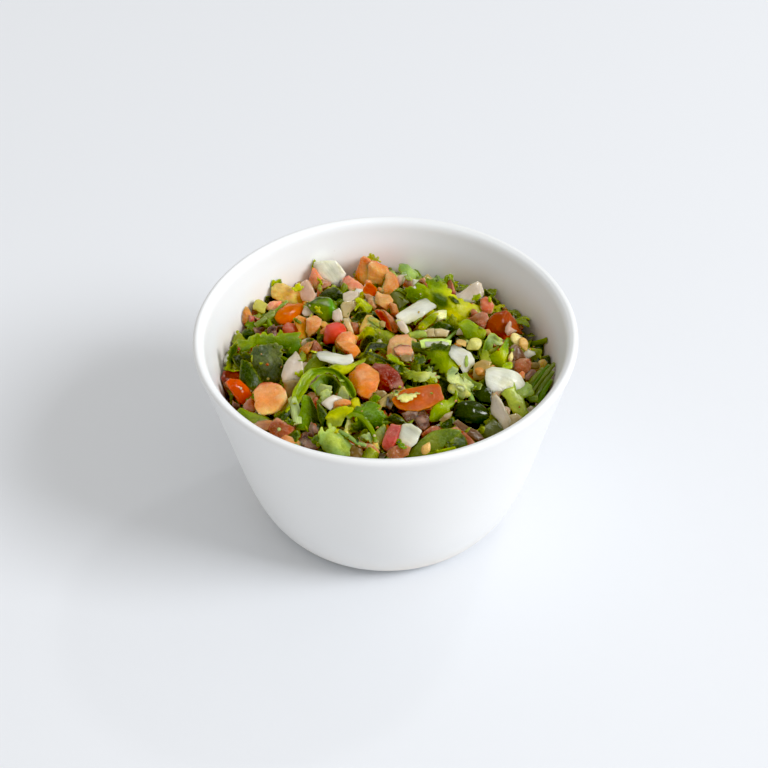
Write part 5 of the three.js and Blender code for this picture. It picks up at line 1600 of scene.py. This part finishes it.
def porcelain_material():
    g = Nodes("porcelain")
    p = g.coords()
    x, y, z = g.split(p)
    wide = g.noise(p, 22.0, 3.0)
    fine = g.noise(p, 900.0, 2.0)
    body = g.ramp(wide, (0.3, (0.822, 0.828, 0.826)), (0.7, (0.836, 0.842, 0.842)))
    r = g.math("SQRT", g.math("ADD", g.math("MULTIPLY", x, x), g.math("MULTIPLY", y, y)))
    lean = g.math("SUBTRACT", g.math("MULTIPLY", r, 1000.0), g.math("MULTIPLY", z, 1000.0 * SLOPE))
    mid = RIM_RADIUS - LIP_R - SLOPE * LIP_Z
    inside = g.math("MULTIPLY", g.span(lean, mid - 1.3, mid + 1.3, 1.0, 0.0), g.span(z, 0.0035, 0.0040, 0.0, 1.0))
    # painted light: the inside is painted brighter and cooler than the outside, though both are the same glaze
    body = g.mix(inside, body, g.ramp(wide, (0.3, (0.896, 0.932, 0.955)), (0.7, (0.908, 0.944, 0.962))))
    # painted shade on the inner wall just over the filling: a darker, warmer band, as if lit by light thrown off the
    # food
    film = g.math("MULTIPLY", inside, g.math("MULTIPLY", g.span(z, 0.0490, 0.0580, 0.62, 0.0), g.span(g.noise(p, 70.0, 3.0), 0.36, 0.62, 0.35, 1.0)))
    body = g.mix(film, body, (0.86, 0.72, 0.56, 1.0))
    speck = g.voronoi(p, 160.0)
    body = g.mix(g.span(speck, 0.02, 0.05, 0.25, 0.0), body, (0.55, 0.52, 0.47, 1.0))
    # the foot ring is left bare of glaze
    bare = g.math("MULTIPLY", g.span(z, 0.0003, 0.0009, 1.0, 0.0), g.span(r, 0.0245, 0.0252, 0.0, 1.0))
    col = g.mix(bare, body, (0.60, 0.56, 0.49, 1.0))
    rough = g.math("ADD", g.span(wide, 0.3, 0.7, 0.30, 0.36), g.math("MULTIPLY", bare, 0.4))
    g.set(Base_Color=col, Roughness=rough, IOR=1.48)
    h = g.math("ADD", g.math("MULTIPLY", g.noise(p, 60.0, 1.0), 1.0), g.math("MULTIPLY", fine, g.math("ADD", g.math("MULTIPLY", bare, 0.6), 0.012)))
    g.bump(h, 0.00022, 0.35)
    return g.mat


def food_base(name):
    g = Nodes(name)
    return g, g.attr("col", "Color"), g.attr("loc"), g.attr("mask", "Fac")


def tomato_material():
    g, col, loc, skin = food_base("tomato")
    flesh = g.math("SUBTRACT", 1.0, skin)
    soft = g.noise(loc, 0.35, 2.0, 0.5, 0.4)
    wet = g.noise(loc, 0.9, 2.0, 0.45)
    fine = g.noise(loc, 2.6, 1.0)
    threads = g.noise(g.scale(loc, (0.5, 1.4, 1.0)), 0.8, 2.0, 0.55, 0.8)
    col = g.mix(1.0, col, g.ramp(soft, (0.25, (0.88, 0.82, 0.74)), (0.75, (1.10, 1.12, 1.14))), "MULTIPLY")
    col = g.mix(g.math("MULTIPLY", g.span(threads, 0.52, 0.74, 0.0, 0.20), flesh), col, (0.95, 0.66, 0.42, 1.0))
    # pale flecks on the flesh: partly its own pale cells, partly painted glints of wet highlights
    pale_cells_and_painted_glints = g.math("MULTIPLY", g.math("MULTIPLY", g.span(g.voronoi(loc, 1.7), 0.08, 0.26, 0.42, 0.0), g.span(soft, 0.40, 0.60, 0.25, 1.0)), flesh)
    col = g.mix(pale_cells_and_painted_glints, col, (0.97, 0.80, 0.64, 1.0))
    freckle = g.math("MULTIPLY", g.span(g.noise(loc, 3.0, 1.0), 0.62, 0.75, 0.0, 0.14), skin)
    col = g.mix(freckle, col, (0.90, 0.42, 0.10, 1.0))
    rough = g.span(soft, 0.3, 0.7, 0.25, 0.40)
    g.set(Base_Color=col, Roughness=rough, IOR=1.36, Specular_IOR_Level=0.10, Coat_Weight=0.72, Coat_Roughness=0.04, Coat_IOR=1.42)
    g.set(Subsurface_Weight=0.95, Subsurface_Radius=(3.4, 1.3, 0.45), Subsurface_Scale=0.001)
    h = g.math("MULTIPLY", g.math("ADD", g.math("MULTIPLY", wet, 1.0), g.math("MULTIPLY", fine, 0.14)), g.math("ADD", g.math("MULTIPLY", flesh, 0.92), 0.08))
    g.bump(h, 0.0006, 0.5)
    large = g.math("MULTIPLY", g.span(g.voronoi(loc, 0.5, "SMOOTH_F1"), 0.0, 0.8, 1.0, 0.0), g.math("ADD", g.math("MULTIPLY", flesh, 0.8), 0.2))
    small = g.math("MULTIPLY", g.span(g.voronoi(loc, 1.5, "SMOOTH_F1"), 0.0, 0.7, 1.0, 0.0), flesh)
    drops = g.math("ADD", g.math("MULTIPLY", large, 0.8), g.math("MULTIPLY", small, 0.5))
    g.bump(g.math("ADD", g.math("MULTIPLY", drops, 0.9), g.math("MULTIPLY", h, 0.5)), 0.0008, 1.0, "Coat Normal")
    return g.mat


def onion_material():
    g, col, loc, _ = food_base("onion")
    lines = g.noise(g.scale(loc, (0.14, 1.5, 1.2)), 1.0, 2.0, 0.55, 0.2)
    cloud = g.noise(loc, 0.30, 2.0)
    col = g.mix(1.0, col, g.ramp(lines, (0.3, (0.94, 0.935, 0.91)), (0.65, (1.03, 1.03, 1.02))), "MULTIPLY")
    col = g.mix(g.span(cloud, 0.48, 0.72, 0.0, 0.25), col, (0.60, 0.57, 0.43, 1.0))
    g.set(Base_Color=col, Roughness=g.span(lines, 0.3, 0.7, 0.18, 0.30), IOR=1.36, Specular_IOR_Level=0.15, Coat_Weight=1.0, Coat_Roughness=0.06, Coat_IOR=1.41)
    g.set(Subsurface_Weight=0.9, Subsurface_Radius=(3.6, 3.3, 2.8), Subsurface_Scale=0.001)
    g.bump(g.math("ADD", g.math("MULTIPLY", lines, 0.30), g.math("MULTIPLY", g.noise(loc, 0.8, 2.0), 0.7)), 0.00045, 0.5)
    wet = g.span(g.voronoi(g.scale(loc, (0.5, 1.0, 1.0)), 0.7, "SMOOTH_F1"), 0.0, 0.8, 1.0, 0.0)
    g.bump(g.math("ADD", wet, g.math("MULTIPLY", lines, 0.3)), 0.0007, 0.8, "Coat Normal")
    return g.mat


def chilli_material():
    g, col, loc, skin = food_base("chilli")
    flesh = g.math("SUBTRACT", 1.0, skin)
    n1 = g.noise(loc, 0.9, 3.0, 0.6)
    n2 = g.noise(loc, 4.0, 1.0)
    col = g.mix(1.0, col, g.ramp(n1, (0.3, (0.76, 0.80, 0.66)), (0.7, (1.18, 1.15, 1.05))), "MULTIPLY")
    col = g.mix(g.math("MULTIPLY", g.span(n2, 0.62, 0.78, 0.0, 0.18), skin), col, (0.30, 0.42, 0.08, 1.0))
    g.set(Base_Color=col, Roughness=g.math("ADD", g.math("MULTIPLY", flesh, 0.26), g.math("MULTIPLY", skin, 0.14)), IOR=1.38, Specular_IOR_Level=0.25, Coat_Weight=1.0, Coat_Roughness=0.07, Coat_IOR=1.42)
    g.set(Subsurface_Weight=0.3, Subsurface_Radius=(0.4, 0.6, 0.1), Subsurface_Scale=0.001)
    g.bump(g.math("ADD", g.math("MULTIPLY", n1, 0.6), g.math("MULTIPLY", g.math("MULTIPLY", n2, flesh), 0.3)), 0.00035, 0.5)
    return g.mat


def leaf_material():
    g, col, loc, edge = food_base("cilantro")
    fine = g.span(g.voronoi(g.scale(loc, (1.0, 1.4, 0.0)), 1.15, "DISTANCE_TO_EDGE"), 0.0, 0.10, 1.0, 0.0)
    n1 = g.noise(loc, 0.9, 3.0, 0.6)
    n2 = g.noise(loc, 2.6, 2.0, 0.6)
    col = g.mix(1.0, col, g.ramp(n1, (0.28, (0.82, 0.84, 0.74)), (0.50, (0.99, 0.99, 0.96)), (0.72, (1.14, 1.11, 1.08))), "MULTIPLY")
    col = g.mix(1.0, col, g.ramp(n2, (0.3, 0.95), (0.7, 1.05)), "MULTIPLY")
    col = g.mix(g.math("MULTIPLY", fine, 0.14), col, (0.36, 0.46, 0.05, 1.0))
    g.set(Base_Color=col, Roughness=g.span(n1, 0.3, 0.7, 0.22, 0.38), IOR=1.38, Specular_IOR_Level=0.12, Coat_Weight=0.7, Coat_Roughness=0.09, Coat_IOR=1.38)
    g.set(Subsurface_Weight=0.75, Subsurface_Radius=(0.55, 0.55, 0.06), Subsurface_Scale=0.001)
    h = g.math("ADD", g.math("ADD", g.math("MULTIPLY", n1, 0.8), g.math("MULTIPLY", n2, 0.15)), g.math("MULTIPLY", fine, -0.16))
    g.bump(h, 0.0004, 0.6)
    return g.mat


def stem_material():
    g, col, loc, _ = food_base("stem")
    lines = g.noise(g.scale(loc, (0.35, 4.0, 4.0)), 1.0, 2.0)
    col = g.mix(1.0, col, g.ramp(lines, (0.3, (0.74, 0.78, 0.70)), (0.7, (1.2, 1.18, 1.15))), "MULTIPLY")
    g.set(Base_Color=col, Roughness=g.span(lines, 0.3, 0.7, 0.22, 0.40), IOR=1.36, Coat_Weight=0.2, Coat_Roughness=0.06)
    g.set(Subsurface_Weight=0.4, Subsurface_Radius=(0.35, 0.5, 0.1), Subsurface_Scale=0.001)
    g.bump(lines, 0.0002, 0.6)
    return g.mat


def seed_material():
    g, col, loc, _ = food_base("seed")
    n1 = g.noise(loc, 2.2, 3.0)
    col = g.mix(1.0, col, g.ramp(n1, (0.3, (0.84, 0.80, 0.72)), (0.7, (1.1, 1.1, 1.08))), "MULTIPLY")
    g.set(Base_Color=col, Roughness=g.span(n1, 0.3, 0.7, 0.26, 0.42), IOR=1.42, Coat_Weight=0.35, Coat_Roughness=0.08)
    g.set(Subsurface_Weight=0.3, Subsurface_Radius=(1.2, 0.9, 0.5), Subsurface_Scale=0.001)
    g.bump(n1, 0.0002, 0.6)
    return g.mat


def crumb_material():
    g, col, loc, _ = food_base("crumb")
    n1 = g.noise(loc, 2.5, 2.0)
    col = g.mix(1.0, col, g.ramp(n1, (0.3, (0.78, 0.78, 0.74)), (0.7, (1.15, 1.15, 1.12))), "MULTIPLY")
    g.set(Base_Color=col, Roughness=g.span(n1, 0.3, 0.7, 0.2, 0.4), IOR=1.4, Coat_Weight=0.4, Coat_Roughness=0.08)
    g.set(Subsurface_Weight=0.3, Subsurface_Radius=(1.0, 0.9, 0.5), Subsurface_Scale=0.001)
    g.bump(n1, 0.0002, 0.5)
    return g.mat


def core_material():
    g = Nodes("pulp")
    p = g.coords()
    patch = g.noise(p, 230.0, 2.0, 0.5, 0.6)
    fine = g.noise(p, 900.0, 3.0, 0.6)
    col = g.ramp(patch, (0.30, (0.060, 0.075, 0.012)), (0.44, (0.10, 0.105, 0.018)), (0.52, (0.17, 0.075, 0.022)), (0.62, (0.24, 0.11, 0.034)), (0.75, (0.30, 0.21, 0.09)))
    col = g.mix(1.0, col, g.ramp(fine, (0.3, 0.7), (0.7, 1.25)), "MULTIPLY")
    g.set(Base_Color=col, Roughness=g.span(fine, 0.3, 0.7, 0.14, 0.34), IOR=1.36, Coat_Weight=0.8, Coat_Roughness=0.05)
    g.bump(g.math("ADD", patch, g.math("MULTIPLY", fine, 0.35)), 0.0008, 0.6)
    return g.mat


# ---------------------------------------------------------------- the bowl
def bezier(a, b, c, m):
    t = np.linspace(0, 1, m)[:, None]
    return a * (1 - t) ** 2 + 2 * b * t * (1 - t) + c * t ** 2


def straight(a, b, m):
    t = np.linspace(0, 1, m)[:, None]
    return a * (1 - t) + b * t


def corner(a, b, c, r, m=5):
    """Rounds the corner b between a and c."""
    a, b, c = (np.array(x, float) for x in (a, b, c))
    p = b + (a - b) / np.linalg.norm(a - b) * r
    q = b + (c - b) / np.linalg.norm(c - b) * r
    return bezier(p, b, q, m)


def bowl_profile():
    """From the middle of the underside round the rim to the middle of the inside."""
    A = np.array
    corner_out = A([KNEE_R - SLOPE * KNEE_Z, 0.2])
    shade = 0.22  # the wall sits this far in under the rolled lip
    out = [straight(A([0.0, RECESS]), A([23.4, RECESS]), 14)]
    out.append(corner([20, RECESS], [24.2, RECESS], [25.4, 0], 0.5))
    out.append(corner([24.2, RECESS], [25.4, 0], [28, 0], 0.4))
    out.append(straight(A([26.0, 0.0]), A([29.3, 0.0]), 5))
    out.append(corner([28, 0], [30, 0], [30.9, 0.7], 0.45))
    out.append(bezier(A([30.9, 0.7]), corner_out, A([KNEE_R, KNEE_Z]), 34)[1:])
    wall = straight(A([KNEE_R, KNEE_Z]), A([RIM_RADIUS, LIP_Z]), 44)[1:-1]
    s = (wall[:, 1] - KNEE_Z) / (LIP_Z - KNEE_Z)
    tuck = shade * smooth(0.0, 0.5, s) * (1 - smooth(0.935, 0.995, s))
    wall[:, 0] -= tuck
    out.append(wall)
    # the lip is highest near its outer edge and slopes down to the inside
    a = np.linspace(0, math.pi / 2, 11)
    out.append(np.column_stack([53.8 + 1.2 * np.cos(a), 63.3 + 1.2 * np.sin(a)]))
    a = np.linspace(math.pi / 2, math.radians(118), 5)[1:]
    out.append(np.column_stack([53.8 + 0.9 * np.cos(a), 63.6 + 0.9 * np.sin(a)]))
    low = A([float(inner_radius(61.5)), 61.5])
    out.append(straight(out[-1][-1], A([52.75, 64.05]), 4)[1:])
    out.append(bezier(A([52.75, 64.05]), A([float(inner_radius(63.3)), 63.45]), low, 10)[1:])
    inner_knee = A([float(inner_radius(INNER_KNEE_Z)), INNER_KNEE_Z])
    out.append(straight(low, inner_knee, 40)[1:])
    out.append(bezier(inner_knee, A([float(inner_radius(FLOOR)), FLOOR]), A([26.5, FLOOR]), 26)[1:])
    out.append(straight(A([26.5, FLOOR]), A([0.0, FLOOR]), 14)[1:])
    return np.concatenate(out)


def make_bowl(material, sides=224):
    prof = bowl_profile()
    ph = np.linspace(0, 2 * math.pi, sides, endpoint=False)
    ring = prof[1:-1]
    m = len(ring)
    # hand-finished: a hair of unevenness in the round, none at the lip's greatest reach or at the foot
    calm = smooth(0.5, 6.0, ring[:, 1]) * (1 - smooth(56.0, 61.5, ring[:, 1]))
    wob = -0.07 + 0.05 * np.cos(2 * ph[None] + 0.7) + 0.02 * np.cos(5 * ph[None] + ring[:, 1:2] * 0.05)
    r = ring[:, :1] + wob * calm[:, None]
    v = np.stack([r * np.cos(ph), r * np.sin(ph), np.repeat(ring[:, 1:2], sides, 1)], -1).reshape(-1, 3)
    v = np.concatenate([v, [[0, 0, prof[0, 1]], [0, 0, prof[-1, 1]]]])
    i, j = np.meshgrid(np.arange(m - 1), np.arange(sides), indexing="ij")
    j2 = (j + 1) % sides
    q = np.stack([i * sides + j, i * sides + j2, (i + 1) * sides + j2, (i + 1) * sides + j], -1).reshape(-1, 4)
    k = np.arange(sides)
    f = np.concatenate([
        np.stack([np.full(sides, m * sides), (k + 1) % sides, k], 1),
        np.stack([np.full(sides, m * sides + 1), (m - 1) * sides + k, (m - 1) * sides + (k + 1) % sides], 1),
    ])
    return mesh_object("glazed_bowl", v, f, material, q)


def make_core(material):
    """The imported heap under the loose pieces, closed, down to the bowl's floor."""
    sides, rings = 132, 34
    ph = np.linspace(0, 2 * math.pi, sides, endpoint=False)
    rows = []
    for i in range(1, rings + 1):
        t = i / rings
        r = 46.4 * t
        x, y = r * np.cos(ph), r * np.sin(ph)
        q = np.column_stack([x, y, np.zeros(sides)])
        z = level(np.full(sides, r)) - 2.5 + 1.5 * fbm(q, 0.13, 5, 3) + 0.45 * np.abs(fbm(q, 0.45, 9, 2))
        rows.append(np.column_stack([x, y, z]))
    z_top = rows[-1][:, 2]
    for z in (38.0, 30.0, 23.7, 16.0, 9.0, 6.2):
        r = float(inner_radius(z)) - 0.4 if z >= INNER_KNEE_Z else {16.0: 36.9, 9.0: 32.5, 6.2: 28.0}[z]
        rows.append(np.column_stack([r * np.cos(ph), r * np.sin(ph), np.full(sides, z)]))
    rows.append(np.column_stack([24.0 * np.cos(ph), 24.0 * np.sin(ph), np.full(sides, 5.2)]))
    v = np.concatenate(rows)
    m = len(rows)
    n0 = len(v)
    v = np.concatenate([v, [[0, 0, float(level(0)) - 2.4], [0, 0, 5.1]]])
    v[:, 2] = np.maximum(v[:, 2], 5.0)
    i, j = np.meshgrid(np.arange(m - 1), np.arange(sides), indexing="ij")
    j2 = (j + 1) % sides
    q = np.stack([i * sides + j, (i + 1) * sides + j, (i + 1) * sides + j2, i * sides + j2], -1).reshape(-1, 4)
    k = np.arange(sides)
    f = np.concatenate([
        np.stack([np.full(sides, n0), k, (k + 1) % sides], 1),
        np.stack([np.full(sides, n0 + 1), (m - 1) * sides + (k + 1) % sides, (m - 1) * sides + k], 1),
    ])
    return mesh_object("packed_core", v, f, material, q)


# ---------------------------------------------------------------- floor and light
def make_stage():
    g = Nodes("table")
    p = g.coords()
    n1 = g.noise(p, 4.0, 3.0)
    g.set(Base_Color=g.ramp(n1, (0.3, (0.800, 0.826, 0.862)), (0.7, (0.806, 0.832, 0.868))), Roughness=0.75)
    v = np.array([[-2600, -2600, -0.02], [2600, -2600, -0.02], [2600, 2600, -0.02], [-2600, 2600, -0.02]], float)
    floor = mesh_object("table_top", v, np.array([[0, 1, 2], [0, 2, 3]]), g.mat)
    world = bpy.data.worlds.new("room_light")
    world.use_nodes = True
    bg = world.node_tree.nodes["Background"]
    bg.inputs[0].default_value = (1.0, 0.983, 0.958, 1.0)
    path = world.node_tree.nodes.new("ShaderNodeLightPath")
    weaker = world.node_tree.nodes.new("ShaderNodeMath")
    weaker.operation = "MULTIPLY_ADD"
    weaker.inputs[1].default_value, weaker.inputs[2].default_value = -0.60 * FILL, FILL
    world.node_tree.links.new(path.outputs["Is Glossy Ray"], weaker.inputs[0])
    world.node_tree.links.new(weaker.outputs[0], bg.inputs[1])
    bpy.context.scene.world = world
    a, e = math.atan2(KEY_DIR[1], KEY_DIR[0]), math.radians(KEY_ELEV)
    d = Vector((math.cos(a) * math.cos(e), math.sin(a) * math.cos(e), math.sin(e)))
    lamp = bpy.data.lights.new("key", "AREA")
    lamp.shape, lamp.size, lamp.size_y = "RECTANGLE", KEY_SIZE[0], KEY_SIZE[1]
    lamp.energy = KEY_POWER
    lamp.color = (0.98, 0.993, 1.025)
    o = bpy.data.objects.new("key", lamp)
    o.location = Vector((0, 0, 0.03)) + d * KEY_DIST
    o.rotation_euler = d.to_track_quat("Z", "Y").to_euler()
    bpy.context.scene.collection.objects.link(o)
    # a small lamp high at the back and a wide one overhead, for the glints and the sheen of wet pieces
    for name, way, size, power in (("glint", (0.42, 0.55, 0.72), 0.16, GLINT), ("sheen", (0.22, -0.26, 0.94), 0.34, SHEEN), ("spark", (-0.22, 0.60, 0.76), 0.14, SPARK)):
        lamp = bpy.data.lights.new(name, "AREA")
        lamp.shape, lamp.size, lamp.size_y = "RECTANGLE", size, size
        lamp.energy = power
        d = Vector(way).normalized()
        o = bpy.data.objects.new(name, lamp)
        o.location = Vector((0, 0, 0.03)) + d * KEY_DIST
        o.rotation_euler = d.to_track_quat("Z", "Y").to_euler()
        o.visible_diffuse = name == "glint"
        bpy.context.scene.collection.objects.link(o)


KEY_DIR, KEY_ELEV, KEY_DIST, KEY_SIZE, KEY_POWER, FILL = (0.93, -0.36), 38.0, 2.2, (0.88, 0.88), 33.4, 0.625
GLINT, SHEEN, SPARK = 2.2, 7.5, 4.0

scene = bpy.context.scene
scene.view_settings.view_transform = "Standard"
scene.view_settings.look = "None"
scene.view_settings.exposure = 0.0
scene.view_settings.gamma = 1.0
scene.view_settings.use_curve_mapping = True
scene.view_settings.curve_mapping.black_level = (0.011, 0.011, 0.014)
scene.view_settings.curve_mapping.update()

make_camera()
make_stage()

bowl = make_bowl(porcelain_material())
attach(bowl, "root")
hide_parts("bowl")

core = make_core(core_material())
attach(core, "root")
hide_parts("pico_heap")

top_pieces()
fill_below_and_between()
wedge_between()
soak()
crumbs()

SHARP = {"tomato_dice": 48, "onion_dice": 40, "chilli_dice": 42}
SLOTS = {
    "tomato_dice": (tomato_material, "tomato"), "onion_dice": (onion_material, "onion"), "chilli_dice": (chilli_material, "chilli"),
    "cilantro_leaves": (leaf_material, "leaf"), "green_stems": (stem_material, "leaf"), "seeds": (seed_material, "seed"), "crumbs": (crumb_material, "pico"),
}
for name, (material, slot) in SLOTS.items():
    piece = KINDS[name].build(material(), SHARP.get(name))
    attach(piece, "root")
    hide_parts("pico_heap")
